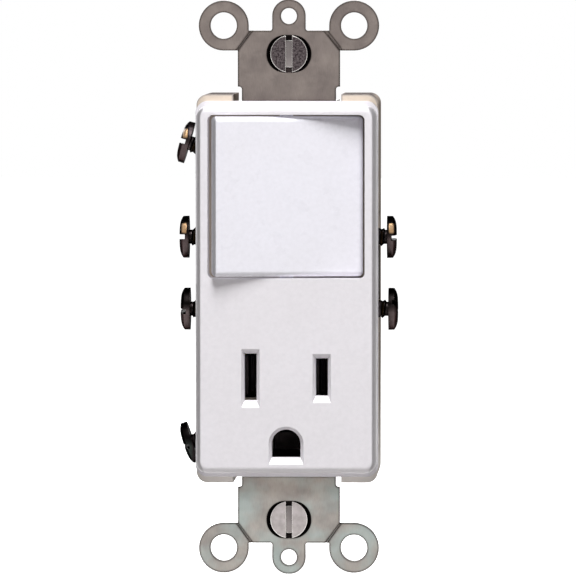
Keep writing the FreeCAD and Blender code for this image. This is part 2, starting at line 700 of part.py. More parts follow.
def make_mounting_strap():
    """One folded sheet: ears and tabs in front, wrapped round the body's ends and back."""
    body = new_body("mounting_strap")
    ears = [(across, up) for across in ("-ear_spacing_wide/2", "ear_spacing_wide/2")
            for up in ("-ear_spacing_tall/2", "ear_spacing_tall/2")]

    wrap = sketch_on(body, "YZ_Plane", "0", "wrap_outline")
    outer, inner = f"{FLOOR_TOP} + strap_wall", FLOOR_TOP
    outer_low, inner_low = f"{FLOOR_LOW} - strap_wall", FLOOR_LOW
    polygon(wrap, [("-strap_wall", inner), ("-strap_wall", "plate_near + plate_lap"),
                   ("0", "plate_near + plate_lap"), ("0", outer), (STRAP_BACK, outer),
                   (STRAP_BACK, outer_low), ("0", outer_low), ("0", "-plate_near - plate_lap"),
                   ("-strap_wall", "-plate_near - plate_lap"), ("-strap_wall", inner_low),
                   ("housing_back", inner_low), ("housing_back", inner)])
    pad(body, wrap, "neck_width", "wrap", middle=True)
    levels = {"outer": (value(outer), value(outer_low)), "inner": (value(inner), value(inner_low))}
    wall, back = value("strap_wall"), value("housing_back")
    for name, depth, level, radius in (
            ("front_inner", 0, "outer", "bend_front"),
            ("front_outer", -wall, "inner", "bend_front + strap_wall"),
            ("back_inner", back, "inner", "bend_back"),
            ("back_outer", back + wall, "outer", "bend_back + strap_wall")):
        dress(body, "Fillet", f"bend_{name}", radius,
              lambda middle, edge: near(middle.y, depth) and along(edge, "x")
              and any(near(middle.z, spot) for spot in levels[level]))

    plates = facing(body, "0", "plate_outline")
    for low, high in (("plate_near", "plate_far"), ("-plate_far", "-plate_near")):
        rectangle(plates, "-plate_width/2", "plate_width/2", low, high)
    pad(body, plates, "strap_wall", "plates")
    rings = facing(body, "0", "ring_outline")
    for across, up in ears:
        circle(rings, across, up, "ear_outer/2")
    pad(body, rings, "strap_wall", "rings")
    corners = facing(body, "0", "corner_outline")
    for across, up in ears:
        side, level = ("-" if across[0] == "-" else ""), ("-" if up[0] == "-" else "")
        low_high = [up, f"{level}(ear_spacing_tall/2 - ear_outer/2)"]
        left_right = [across, f"{side}(ear_spacing_wide/2 - ear_outer/2)"]
        rectangle(corners, left_right[0], left_right[1], low_high[0], low_high[1])
    pad(body, corners, "strap_wall", "ear_corners")
    tabs = facing(body, "0", "tab_outline")
    for low, high in (("plate_far - neck_corner", TAB_END), (f"-{TAB_END}", "neck_corner - plate_far")):
        rectangle(tabs, "-tab_width/2", "tab_width/2", low, high)
    pad(body, tabs, "strap_wall", "tabs")

    half_tab, end = value("tab_width/2"), value(TAB_END)
    dress(body, "Fillet", "tab_ends", "tab_width/2 - end_flat/2",
          lambda middle, edge: along(edge, "y") and near(abs(middle.x), half_tab)
          and near(abs(middle.z), end))
    far = value("plate_far")
    dress(body, "Fillet", "tab_roots", "tab_corner",
          lambda middle, edge: along(edge, "y") and near(abs(middle.x), half_tab)
          and near(abs(middle.z), far))
    half_neck, start = value("neck_width/2"), value("plate_near")
    dress(body, "Fillet", "neck_corners", "neck_corner",
          lambda middle, edge: along(edge, "y") and near(abs(middle.x), half_neck)
          and near(abs(middle.z), start))

    holes = facing(body, "-strap_wall", "hole_outline")
    for across, up in ears:
        circle(holes, across, up, "ear_hole/2")
    for up in ("-wallplate_spacing/2", "wallplate_spacing/2"):
        circle(holes, "0", up, "wallplate_hole/2")
    pocket(body, holes, "strap_wall", "ear_and_tab_holes")

    for name, up in (("top", "box_spacing/2"), ("low", "-box_spacing/2")):
        sketches = []
        for depth, shrink in (("-strap_wall", "0"), ("0", "slot_sink")):
            sketch = facing(body, depth, f"sink_{name}_{len(sketches)}")
            wide, tall = f"slot_long/2 - {shrink}", f"slot_tall/2 - {shrink}"
            rounded(sketch, f"-({wide})", wide, f"{up} - ({tall})", f"{up} + ({tall})",
                    f"{tall} - end_flat/2")
            sketches.append(sketch)
        taper_cut(body, sketches[0], sketches[1], f"sink_{name}")

    for name, corners, wide, deep in (
            ("scores", (("-", "-"), ("-", ""), ("", "-")), "score_width", "score_depth"),
            ("deep_score", (("", ""),), "score_deep_width", "score_deep")):
        scores = facing(body, "-strap_wall", f"{name}_outline")
        for side, level in corners:
            end, rim = f"{level}(plate_far + score_overrun)", f"{side}(plate_width/2 + score_overrun)"
            polygon(scores, [(f"{side}(score_inner_x - {wide})", end), (f"{side}score_inner_x", end),
                             (rim, f"{level}(score_outer_z + {wide})"),
                             (rim, f"{level}score_outer_z")])
        pocket(body, scores, deep, f"break_off_{name}")

    wing = facing(body, STRAP_BACK, "ground_wing_outline")
    seat = (f"{GROUND_SEAT[0]} - strap_shift", GROUND_SEAT[1])
    plate = slanted(seat, GROUND_OUT, ("-strap_wall", "0"), "ground_half")
    root = "ground_wing_root - neck_width/2"
    polygon(wing, [(root, "-ground_wing_low"), plate[0], plate[3], (root, "-ground_wing_high")])
    pad(body, wing, "strap_wall", "ground_wing")
    leaf = facing(body, STRAP_BACK, "ground_tab_outline")
    polygon(leaf, plate)
    pad(body, leaf, f"{STRAP_BACK} - ground_tab_front", "ground_tab")
    thread = body.newObject("PartDesign::SubtractiveCylinder", "ground_thread")
    thread.setExpression("Radius", tied("screw_shank/2 + screw_clear"))
    thread.setExpression("Height", tied("strap_wall + 2*cut_spare"))
    thread.AttachmentOffset.Rotation = FreeCAD.Rotation(
        AXES["z"], FreeCAD.Vector(value(GROUND_OUT[0]), 0, value(GROUND_OUT[1])))
    thread.setExpression("AttachmentOffset.Base.x",
                         tied(f"{seat[0]} - (strap_wall + cut_spare)*({GROUND_OUT[0]})"))
    thread.setExpression("AttachmentOffset.Base.y", tied("screw_depth"))
    thread.setExpression("AttachmentOffset.Base.z",
                         tied(f"{seat[1]} - (strap_wall + cut_spare)*({GROUND_OUT[1]})"))
    before = body.Shape.Volume
    thread.AttachmentSupport = [(next(
        feature for feature in body.Origin.OriginFeatures if feature.Role == "XY_Plane"), "")]
    thread.MapMode = "FlatFace"
    doc.recompute()
    if body.Shape.Volume > before - 1:
        raise ValueError("the ground thread cuts nothing")

    rivet = facing(body, "housing_back", "rivet_outline")
    circle(rivet, "-strap_shift", PIN, "rivet_shank/2 + seat_gap")
    pocket(body, rivet, "strap_wall", "rivet_hole")
    body.setExpression("Placement.Base.x", tied("strap_shift"))
    return body


def make_paddle():
    """The rocker's paddle, drawn about its pivot, then turned to the pose in the photograph."""
    body = new_body("rocker_paddle")
    front = "-pivot_depth"
    plan = sketch_on(body, "XY_Plane", PADDLE_LOW, "paddle_plan")
    polygon(plan, [("-paddle_width/2", front), ("paddle_width/2", front),
                   ("paddle_width/2 - paddle_taper", "paddle_skirt"),
                   ("paddle_taper - paddle_width/2", "paddle_skirt")])
    pad(body, plan, f"{PADDLE_HIGH} - {PADDLE_LOW}", "paddle_block")
    face, skirt = value(front), value("paddle_skirt")
    dress(body, "Fillet", "paddle_corners", "paddle_corner",
          lambda middle, edge: near(middle.y, (face + skirt)/2) and not along(edge, "z"))
    dress(body, "Fillet", "paddle_rounding", "paddle_round",
          lambda middle, edge: near(middle.y, face))

    hollow = facing(body, "paddle_skirt", "hollow_outline")
    rectangle(hollow, "paddle_wall + paddle_taper - paddle_width/2",
              "paddle_width/2 - paddle_taper - paddle_wall",
              f"{PADDLE_LOW} + paddle_wall", f"{PADDLE_HIGH} - paddle_wall")
    pocket(body, hollow, "paddle_skirt + pivot_depth - paddle_wall", "hollow", forward=True)

    under = "paddle_wall - pivot_depth"
    ribs = facing(body, under, "rib_outline")
    rectangle(ribs, "paddle_wall - paddle_width/2", "paddle_width/2 - paddle_wall",
              "switch_centre - rib_wall/2", "switch_centre + rib_wall/2")
    pad(body, ribs, f"rib_back - ({under})", "cross_rib", reverse=True)
    leg = facing(body, under, "leg_outline")
    circle(leg, "0", "switch_centre", "leg_outer/2")
    pad(body, leg, f"leg_end - ({under})", "leg", reverse=True)
    bore = facing(body, "leg_end", "leg_bore_outline")
    circle(bore, "0", "switch_centre", "leg_bore/2")
    pocket(body, bore, "leg_bore_depth", "leg_hole", forward=True)
    for name, start, outward in (("upper", PADDLE_HIGH, False), ("lower", PADDLE_LOW, True)):
        stub = sketch_on(body, "XY_Plane", start, f"trunnion_{name}_outline")
        circle(stub, "0", "0", "trunnion/2")
        pad(body, stub, "trunnion_reach + paddle_gap/2", f"trunnion_{name}", reverse=outward)
    place_on_rocker(body)
    return body


def place_on_rocker(piece):
    piece.Placement.Rotation = FreeCAD.Rotation(AXES["z"], value("rocker_tilt"))
    piece.setExpression("Placement.Base.y", tied(PIVOT))


def make_plunger():
    """Shouldered plunger that slides in the leg and rides over the seesaw."""
    shoulder = rod("plunger_shoulder", "y", ("0", "leg_end - plunger_head - plunger_sink", "switch_centre"),
                   "leg_bore/2 - plunger_gap", "plunger_head")
    tip_place = f"{TIP_REACH} - plunger_tip/2"
    neck = rod("plunger_neck", "y", ("0", "leg_end - plunger_sink", "switch_centre"),
               "plunger_tip/2", f"{tip_place} - leg_end + plunger_sink")
    ball = doc.addObject("Part::Sphere", "plunger_ball")
    ball.setExpression("Radius", tied("plunger_tip/2"))
    ball.setExpression("Placement.Base.y", tied(tip_place))
    ball.setExpression("Placement.Base.z", tied("switch_centre"))
    plunger = fuse("plunger", [shoulder, neck, ball])
    place_on_rocker(plunger)
    return plunger


def make_spring():
    """Compression spring between the leg's bore and the plunger."""
    start = value("leg_end - leg_bore_depth + spring_wire/2 + spring_seat_gap")
    stop = value("leg_end - plunger_head - plunger_sink - spring_wire/2 - spring_seat_gap")
    radius = value("leg_bore/2 - spring_gap - spring_wire/2")
    helix = Part.makeHelix((stop - start) / value("spring_turns"), stop - start, radius)
    circle_edge = Part.makeCircle(value("spring_wire") / 2, FreeCAD.Vector(radius, 0, 0), AXES["y"])
    spring = doc.addObject("Part::Feature", "plunger_spring")
    spring.Shape = Part.Wire(helix).makePipeShell([Part.Wire(circle_edge)], True, True)
    spring.Label = "plunger_spring"
    on_rocker = FreeCAD.Placement(FreeCAD.Vector(0, value(PIVOT), 0),
                                  FreeCAD.Rotation(AXES["z"], value("rocker_tilt")))
    spring.Placement = on_rocker * FreeCAD.Placement(
        FreeCAD.Vector(0, start, value("switch_centre")), FreeCAD.Rotation(AXES["x"], -90))
    return spring


def make_seesaw():
    """Moving contact: a shallow dished strip that tips on the fulcrum."""
    body = new_body("seesaw_contact")
    plan = sketch_on(body, "XY_Plane", "switch_centre - seesaw_height/2", "seesaw_plan")
    back = [("-seesaw_half", "-seesaw_lift"), ("-seesaw_knee", "-seesaw_lift"), ("0", "0"),
            ("seesaw_knee", "-seesaw_lift"), ("seesaw_half", "-seesaw_lift")]
    front = [(across, f"{depth} - seesaw_wall") for across, depth in reversed(back)]
    polygon(plan, back + front)
    pad(body, plan, "seesaw_height", "seesaw_strip")
    place_on_seesaw(body)
    return body


def place_on_seesaw(piece):
    piece.Placement.Rotation = FreeCAD.Rotation(AXES["z"], -value("seesaw_tilt"))
    piece.setExpression("Placement.Base.y", tied(SEESAW_LEVEL))


def make_buttons():
    """Silver contact buttons: two on the seesaw, two fixed on the strips."""
    moving, fixed = [], []
    for side in ("-", ""):
        name = "left" if side else "right"
        moving.append(rod(f"moving_button_{name}", "y",
                          (f"{side}contact_x", "-seesaw_lift", "switch_centre"),
                          "contact_across/2", "seesaw_lift + contact_drop"))
        fixed.append(rod(f"fixed_button_{name}", "y",
                         (f"{side}contact_x", f"{STRIP_FRONT} - contact_fixed", "switch_centre"),
                         "contact_across/2", "contact_fixed"))
    groups = []
    for label, rods in (("moving_contact_buttons", moving), ("fixed_contact_buttons", fixed)):
        group = doc.addObject("Part::Compound", label)
        group.Links = rods
        group.Label = label
        groups.append(group)
    place_on_seesaw(groups[0])
    return groups


def threaded(label, metal, rows, side):
    """Cut the tapped screw holes through terminal pads on one side."""
    holes = [rod(f"{label}_thread_{name}", "x",
                 (f"{side}pad_face - strip_wall - cut_spare", "screw_depth", ROWS[name]),
                 "screw_shank/2 + screw_clear", "2*(strip_wall + cut_spare)") for name in rows]
    return cut(label, metal, holes)


def terminal_pad(name, side, row):
    """A pad in its side recess and the arm that runs in from its back edge."""
    left, right = ("-pad_face", "strip_wall - pad_face") if side else ("pad_face - strip_wall",
                                                                      "pad_face")
    return box(f"{name}_pad", (left, right), ("pad_front", "floor_depth"),
               (f"{row} - pad_half", f"{row} + pad_half"))


def strip(name, across, up):
    return box(name, across, (STRIP_FRONT, "floor_depth"), up)


def make_line_bus():
    """Right-hand bus: common pad, break-off fin, hot pad, fulcrum arm and outlet arm."""
    row_low, row_high = ROWS["lower"], ROWS["upper"]
    centre_strip = strip("common_leg", ("-leg_width/2", "leg_width/2"),
                         (f"{row_high} - arm_half", "switch_centre + seesaw_height/2"))
    fulcrum = box("fulcrum", ("-fulcrum_wall/2", "fulcrum_wall/2"),
                  (f"{SEESAW_LEVEL} + fulcrum_gap", "floor_depth"),
                  ("switch_centre - seesaw_height/2", "switch_centre + seesaw_height/2"))
    fin = box("break_off_fin", ("pad_face - strip_wall", "fin_out"),
              ("pad_front", "pad_front + strip_wall"), ("-fin_low", "fin_high"))
    pieces = [terminal_pad("common", "", row_high), terminal_pad("hot", "", row_low), fin,
              strip("common_arm", ("0", "pad_face"), (f"{row_high} - arm_half",
                                                      f"{row_high} + arm_half")),
              centre_strip, fulcrum,
              strip("hot_arm", ("blade_x - leg_width/2", "pad_face"),
                    (f"{row_low} - arm_half", f"{row_low} + arm_half")),
              strip("hot_leg", ("blade_x - leg_width/2", "blade_x + leg_width/2"),
                    (CLIP_LOW, f"{row_low} + arm_half"))]
    slit = box("fin_slit", ("(pad_face + fin_out)/2 - fin_hole/4", "(pad_face + fin_out)/2 + fin_hole/4"),
               ("pad_front - cut_spare", "pad_front + strip_wall + cut_spare"),
               ("(fin_high - fin_low)/2 - fin_hole/2", "(fin_high - fin_low)/2 + fin_hole/2"))
    solid = cut("line_bus_metal", fuse("line_bus_sheet", pieces), [slit])
    return threaded("line_bus", solid, ROWS, "")


def make_neutral_plate():
    row = ROWS["lower"]
    pieces = [terminal_pad("neutral", "-", row),
              strip("neutral_arm", ("-pad_face", "leg_width/2 - blade_x"),
                    (f"{row} - arm_half", f"{row} + arm_half")),
              strip("neutral_leg", ("-blade_x - leg_width/2", "leg_width/2 - blade_x"),
                    (CLIP_LOW, f"{row} + arm_half"))]
    return threaded("neutral_plate", fuse("neutral_sheet", pieces), ["lower"], "-")


def make_traveller_lower():
    row = ROWS["upper"]
    pieces = [terminal_pad("traveller", "-", row),
              strip("traveller_arm", ("-pad_face", "leg_width/2 - contact_x"),
                    (f"{row} - arm_half", f"{row} + arm_half")),
              strip("traveller_leg", ("-contact_x - leg_width/2", "leg_width/2 - contact_x"),
                    (f"{row} - arm_half", "switch_centre + seesaw_height/2"))]
    return threaded("traveller_plate_lower", fuse("traveller_lower_sheet", pieces), ["upper"], "-")


def make_traveller_upper():
    """Slanted pad at the upper left, with an arm across to the right-hand fixed contact."""
    body = new_body("traveller_plate_upper")
    leaf = facing(body, "floor_depth", "slanted_pad_outline")
    polygon(leaf, slanted(UPPER_SEAT, UPPER_OUT, ("-strip_wall", "0"), "slanted_pad_half"))
    pad(body, leaf, "floor_depth - pad_front", "slanted_pad")
    arm = facing(body, "floor_depth", "upper_arm_outline")
    low, high = f"{UPPER_SEAT[1]} - arm_half", f"{UPPER_SEAT[1]} + arm_half"
    polygon(arm, [(f"{UPPER_SEAT[0]} + strip_wall/2", low),
                  ("contact_x - leg_width/2", low),
                  ("contact_x - leg_width/2", "switch_centre - seesaw_height/2"),
                  ("contact_x + leg_width/2", "switch_centre - seesaw_height/2"),
                  ("contact_x + leg_width/2", high),
                  (f"{UPPER_SEAT[0]} + strip_wall/2", high)])
    pad(body, arm, "strip_wall", "upper_arm")
    hole = doc.addObject("Part::Cylinder", "upper_thread")
    hole.setExpression("Radius", tied("screw_shank/2 + screw_clear"))
    hole.setExpression("Height", tied("strip_wall + 2*cut_spare"))
    hole.Placement.Rotation = FreeCAD.Rotation(
        AXES["z"], FreeCAD.Vector(value(UPPER_OUT[0]), 0, value(UPPER_OUT[1])))
    for side, text in (("x", f"{UPPER_SEAT[0]} - (strip_wall + cut_spare)*({UPPER_OUT[0]})"),
                       ("y", "screw_depth"),
                       ("z", f"{UPPER_SEAT[1]} - (strip_wall + cut_spare)*({UPPER_OUT[1]})")):
        hole.setExpression(f"Placement.Base.{side}", tied(text))
    body.Label = "slanted_blank"
    return cut("traveller_plate_upper", body, [hole])


def make_clip(label, side):
    """Blade contact: two tines with flared mouths on a folded base."""
    body = new_body(label)
    middle = f"{side}blade_x"
    plan = sketch_on(body, "XY_Plane", CLIP_LOW, f"{label}_plan")
    base, flare = STRIP_FRONT, "clip_front + clip_flare_depth"
    outside = [("clip_mouth/2 + clip_wall", base), ("clip_mouth/2 + clip_wall - clip_lean", flare),
               ("clip_flare + clip_wall", "clip_front")]
    inside = [("clip_flare", "clip_front"), ("clip_mouth/2 - clip_lean", flare),
              ("clip_mouth/2", f"{base} - clip_wall")]
    right = [(f"{middle} + ({across})", depth) for across, depth in outside + inside]
    left = [(f"{middle} - ({across})", depth) for across, depth in reversed(outside + inside)]
    polygon(plan, right + left)
    pad(body, plan, "2*clip_half", f"{label}_tines")
    return body


def make_ground_contact():
    """Folded strip that grips the ground pin from above and below, held by the rivet."""
    body = new_body("ground_contact")
    side = sketch_on(body, "YZ_Plane", "0", "ground_contact_profile")
    wall, base = "pin_leaf_wall", "pin_base"
    outside = [("-pin_mouth_front", f"pin_mouth + {wall}"),
               ("-pin_throat_front", f"pin_throat + {wall}"), (base, f"pin_back + {wall}")]
    inside = [(f"{base} - {wall}", "pin_back"), ("-pin_throat_front", "pin_throat"),
              ("-pin_mouth_front", "pin_mouth")]
    upper = [(depth, f"{PIN} + ({up})") for depth, up in outside]
    lower = [(depth, f"{PIN} - ({up})") for depth, up in outside]
    upper_inside = [(depth, f"{PIN} + ({up})") for depth, up in inside]
    lower_inside = [(depth, f"{PIN} - ({up})") for depth, up in inside]
    polygon(side, upper + lower[::-1] + lower_inside[::-1] + upper_inside)
    pad(body, side, "2*pin_leaf_half", "ground_leaves", middle=True)
    hole = facing(body, f"{base} - {wall}", "ground_contact_hole")
    circle(hole, "0", PIN, "rivet_shank/2 + seat_gap")
    pocket(body, hole, wall, "ground_contact_rivet_hole")
    return body


def make_rivet():
    """Rivet from the ground contact through the housing to the back of the strap."""
    shank = rod("rivet_body", "y", ("0", "pin_base - pin_leaf_wall", PIN),
                "rivet_shank/2", f"{STRAP_BACK} - pin_base + pin_leaf_wall")
    inner = rod("rivet_inner_head", "y",
                ("0", "pin_base - pin_leaf_wall - rivet_head_wall", PIN),
                "rivet_inner/2", "rivet_head_wall")
    dome = doc.addObject("Part::Cone", "rivet_dome")
    dome.Placement.Rotation = FreeCAD.Rotation(AXES["z"], AXES["y"])
    for side, text in (("Radius1", "rivet_head/2"), ("Radius2", "rivet_head/2 - rivet_head_wall/2"),
                       ("Height", "rivet_head_wall"), ("Placement.Base.y", STRAP_BACK),
                       ("Placement.Base.z", PIN)):
        dome.setExpression(side, tied(text))
    return fuse("ground_rivet", [shank, inner, dome])


def make_terminal_screw(label, place, outward, turn):
    """Binding-head screw, drawn with its head up and then pointed outward."""
    body = new_body(label)
    side = sketch_on(body, "XZ_Plane", "0", f"{label}_profile")
    polygon(side, [("0", "-screw_length"), ("screw_shank/2 - screw_point/2", "-screw_length"),
                   ("screw_shank/2", "screw_point - screw_length"), ("screw_shank/2", "0"),
                   ("screw_head/2", "0"), ("screw_head/2", "screw_head_wall"),
                   ("0", "screw_head_wall")])
    spin = body.newObject("PartDesign::Revolution", f"{label}_turned")
    spin.Profile = side
    spin.ReferenceAxis = (side, ["V_Axis"])
    spin.Angle = 360
    doc.recompute()
    top, rim = value("screw_head_wall"), value("screw_head/2")
    dress(body, "Fillet", f"{label}_dome", "screw_dome",
          lambda middle, edge: near(middle.z, top)
          and near(math.hypot(middle.x, middle.y), rim))
    slot = sketch_on(body, "XY_Plane", "screw_head_wall", f"{label}_slot_outline")
    rectangle(slot, "-screw_slot_width/2", "screw_slot_width/2", "-screw_head", "screw_head")
    pocket(body, slot, "screw_slot_depth", f"{label}_slot")
    direction = FreeCAD.Vector(value(outward[0]), 0, value(outward[1]))
    body.Placement.Rotation = (FreeCAD.Rotation(AXES["z"], direction)
                               * FreeCAD.Rotation(AXES["z"], turn))
    for axis, text in zip("xyz", (place[0], "screw_depth", place[1])):
        body.setExpression(f"Placement.Base.{axis}", tied(text))
    return body


def make_mounting_screw(label, up):
    """Flat-head screw with a thin rim, seated in the strap's countersunk slot."""
    body = new_body(label)
    side = sketch_on(body, "XZ_Plane", "0", f"{label}_profile")
    rim = "mount_head_edge"
    neck_end = "strap_wall + mount_stand + washer_gap + washer_wall + mount_neck_spare"
    polygon(side, [("0", "mount_length"), ("mount_shank/2 - mount_point/2", "mount_length"),
                   ("mount_shank/2", "mount_length - mount_point"), ("mount_shank/2", neck_end),
                   ("mount_neck/2", neck_end), ("mount_neck/2", f"{rim} + mount_cone"),
                   ("mount_head/2", rim), ("mount_head/2", "0"), ("0", "0")])
    spin = body.newObject("PartDesign::Revolution", f"{label}_turned")
    spin.Profile = side
    spin.ReferenceAxis = (side, ["V_Axis"])
    spin.Angle = 360
    doc.recompute()
    slot = sketch_on(body, "XY_Plane", "0", f"{label}_slot_outline")
    rectangle(slot, "-mount_slot_width/2", "mount_slot_width/2", "-mount_head", "mount_head")
    pocket(body, slot, "mount_slot_depth", f"{label}_slot", forward=True)
    body.Placement.Rotation = FreeCAD.Rotation(AXES["x"], -90)
    for axis, text in zip("xyz", ("strap_shift", "-strap_wall - mount_stand", up)):
        body.setExpression(f"Placement.Base.{axis}", tied(text))
    return body


def make_washer(label, up):
    disc = rod(f"{label}_disc", "y", ("strap_shift", "washer_gap", up), "washer_outer/2",
               "washer_wall")
    bore = rod(f"{label}_bore", "y", ("strap_shift", "washer_gap - cut_spare", up),
               "washer_bore/2", "washer_wall + 2*cut_spare")
    return cut(label, disc, [bore])


def make_assembly_screws():
    """Four long screws from the back of the housing into the cover."""
    screws = []
    for index, (_, across, up) in enumerate(ASSEMBLY):
        seat = "housing_back - assembly_sink"
        shank = rod(f"assembly_shank_{index}", "y", (across, "-parting - assembly_bite", up),
                    "assembly_shank/2", f"{seat} + parting + assembly_bite")
        head = rod(f"assembly_head_{index}", "y", (across, seat, up), "assembly_head/2",
                   "assembly_head_wall")
        screws.append(fuse(f"assembly_screw_{index}", [shank, head]))
    group = doc.addObject("Part::Compound", "assembly_screws")
    group.Links = screws
    group.Label = "assembly_screws"
    return group


def make_all():
    right, left = ("1", "0"), ("-1", "0")
    pieces = [
        make_front_cover(), make_back_housing(), make_mounting_strap(), make_paddle(),
        make_plunger(), make_spring(), make_seesaw(), *make_buttons(), make_line_bus(),
        make_neutral_plate(), make_traveller_lower(), make_traveller_upper(),
        make_clip("neutral_contact", "-"), make_clip("hot_contact", ""),
        make_ground_contact(), make_rivet(), make_assembly_screws(),
        make_mounting_screw("mounting_screw_top", "box_spacing/2"),
        make_mounting_screw("mounting_screw_bottom", "-box_spacing/2"),
        make_washer("screw_washer_top", "box_spacing/2"),
        make_washer("screw_washer_bottom", "-box_spacing/2"),
        make_terminal_screw("common_screw", ("common_out", ROWS["upper"]), right, 2),
        make_terminal_screw("hot_screw", ("hot_out", ROWS["lower"]), right, -20),
        make_terminal_screw("traveller_screw_lower", ("-traveller_out", ROWS["upper"]), left, 1),
        make_terminal_screw("neutral_screw", ("-neutral_out", ROWS["lower"]), left, -7),
        make_terminal_screw("traveller_screw_upper", ("-slanted_x", "slanted_z"), UPPER_OUT, 1),
        make_terminal_screw("ground_screw", ("-ground_x", "-ground_z"), GROUND_OUT, 30),
    ]
    return pieces


pieces = make_all()
doc.recompute()
for thing in doc.Objects:
    if "Invalid" in thing.State or "Error" in thing.State:
        raise RuntimeError(f"{thing.Label} is {thing.State}")
for piece in pieces:
    if piece.Shape.isNull() or not piece.Shape.isValid():
        raise RuntimeError(f"{piece.Label} has no valid shape")
# The pieces are drawn about the body's centre plane; the frame's is the strap's
to_frame = FreeCAD.Vector(-value("strap_shift"), 0, 0)
os.makedirs("parts", exist_ok=True)
for piece in pieces:
    piece.Shape.translated(to_frame).exportStep(f"parts/{piece.Label}.step")
    print(piece.Label, len(piece.Shape.Solids), round(piece.Shape.Volume, 2))
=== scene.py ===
"""Looks of a combination rocker switch and grounding outlet on a wrap-round strap.

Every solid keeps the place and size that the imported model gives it. The screws are
made here with their threads, and every surface gets the finish of the real one.
"""

import math

import bpy
from mathutils import Euler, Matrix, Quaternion, Vector


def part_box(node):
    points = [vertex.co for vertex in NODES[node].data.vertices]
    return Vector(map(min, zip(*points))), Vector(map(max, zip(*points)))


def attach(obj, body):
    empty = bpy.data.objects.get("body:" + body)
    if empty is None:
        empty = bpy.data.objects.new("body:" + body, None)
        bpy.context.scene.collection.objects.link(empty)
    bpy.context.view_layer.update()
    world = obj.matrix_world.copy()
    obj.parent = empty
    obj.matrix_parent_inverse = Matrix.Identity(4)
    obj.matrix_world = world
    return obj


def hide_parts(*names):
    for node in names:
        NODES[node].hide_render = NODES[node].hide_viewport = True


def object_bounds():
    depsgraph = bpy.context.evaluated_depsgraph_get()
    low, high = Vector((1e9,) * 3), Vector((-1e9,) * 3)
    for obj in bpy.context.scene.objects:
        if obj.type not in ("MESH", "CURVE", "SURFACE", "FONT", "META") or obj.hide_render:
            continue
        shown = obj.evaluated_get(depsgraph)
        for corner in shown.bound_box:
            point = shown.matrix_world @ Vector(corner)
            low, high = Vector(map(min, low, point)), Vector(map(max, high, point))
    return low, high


bl_info = {
    "name": "Switch and Receptacle Looks",
    "version": (1, 0, 0),
    "blender": (4, 5, 0),
    "location": "3D Viewport > Sidebar > Receptacle",
    "description": "Finishes and threaded screws for a combination wiring device",
    "category": "Object",
}

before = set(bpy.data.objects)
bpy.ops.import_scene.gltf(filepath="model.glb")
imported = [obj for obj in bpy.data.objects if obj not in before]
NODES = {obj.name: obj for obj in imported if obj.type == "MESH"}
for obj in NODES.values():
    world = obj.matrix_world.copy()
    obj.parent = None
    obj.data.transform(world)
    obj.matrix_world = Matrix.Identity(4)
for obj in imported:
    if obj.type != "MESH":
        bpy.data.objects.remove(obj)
CAD_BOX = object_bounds()

MM = 0.001
PICTURE = 576                      # width and height of the picture, in pixels
SENSOR = 36.0                      # width of the camera's sensor (mm)
VIEW_REACH = 20.0                  # how far the camera sees (m)
FLOOR_REACH = 3.0                  # from the middle of the floor to its sides (m)

# Lamps: name, place (m), width and height (m), power (W)
LAMPS = (
    ("key", (0.02, -0.36, 0.712), (0.3, 0.4), 10.0),
    ("back", (-0.2, 0.7, 0.3), (0.5, 0.4), 3.2),
)
# Light of the room, from in front of the object (0) to behind it (1)
ROOM_LIGHT = ((0.0, 0.02), (0.5, 0.08), (1.0, 0.4))
TABLE_TONE = (0.42, 0.41, 0.4, 1)
PAPER_TONE = (0.86, 0.86, 0.86, 1)
WHITE = (1, 1, 1, 1)
AGED_TONE = (0.6, 0.56, 0.52, 1)   # what the plastics drift towards, as linear light

AXIS_DEPTH = 9.5                   # the terminal screws' axes, behind the wall plane (mm)
FACE_PLANE = -8.0                  # the cover's face, in front of the wall plane (mm)
MOUNT_HEIGHT = 41.65               # the mounting screws, above and below the middle (mm)
SLANT_UP = math.radians(16)
SLANT_DOWN = math.radians(18)

# Terminal screws: node, place of the head's underside (mm), way out, turn of the slot in
# degrees, and how much copper shows where the wire has rubbed the rim
TERMINAL_SCREWS = (
    ("common_screw", (17.35, 8.65), (1, 0), 2, 1.0),
    ("hot_screw", (17.6, -4.3), (1, 0), -20, 0.0),
    ("traveller_screw_lower", (-18.25, 8.65), (-1, 0), 1, 1.0),
    ("neutral_screw", (-18.05, -4.3), (-1, 0), -7, 0.0),
    ("traveller_screw_upper", (-18.2, 25.52),
     (-math.cos(SLANT_UP), math.sin(SLANT_UP)), 1, 0.8),
    ("ground_screw", (-17.6, -28.24),
     (-math.cos(SLANT_DOWN), -math.sin(SLANT_DOWN)), -8, 0.0),
)
HEAD_MIDDLE = 0.8                  # middle of a terminal screw's head, from its underside (mm)
SHANK_START = 0.15                 # half the step from the head's tone to the shank's (mm)

# Copper spot: its place from the middle of the head, along the way out, along the slant,
# to the front and up, its half sizes (mm), and the share of each that is soft
SPOT_OUT, SPOT_ALONG, SPOT_FRONT, SPOT_UP = 0.05, 0.4, 3.7, 1.6
SPOT_HALF = (0.5, 3.0, 0.95)
SPOT_SOFT = 0.4

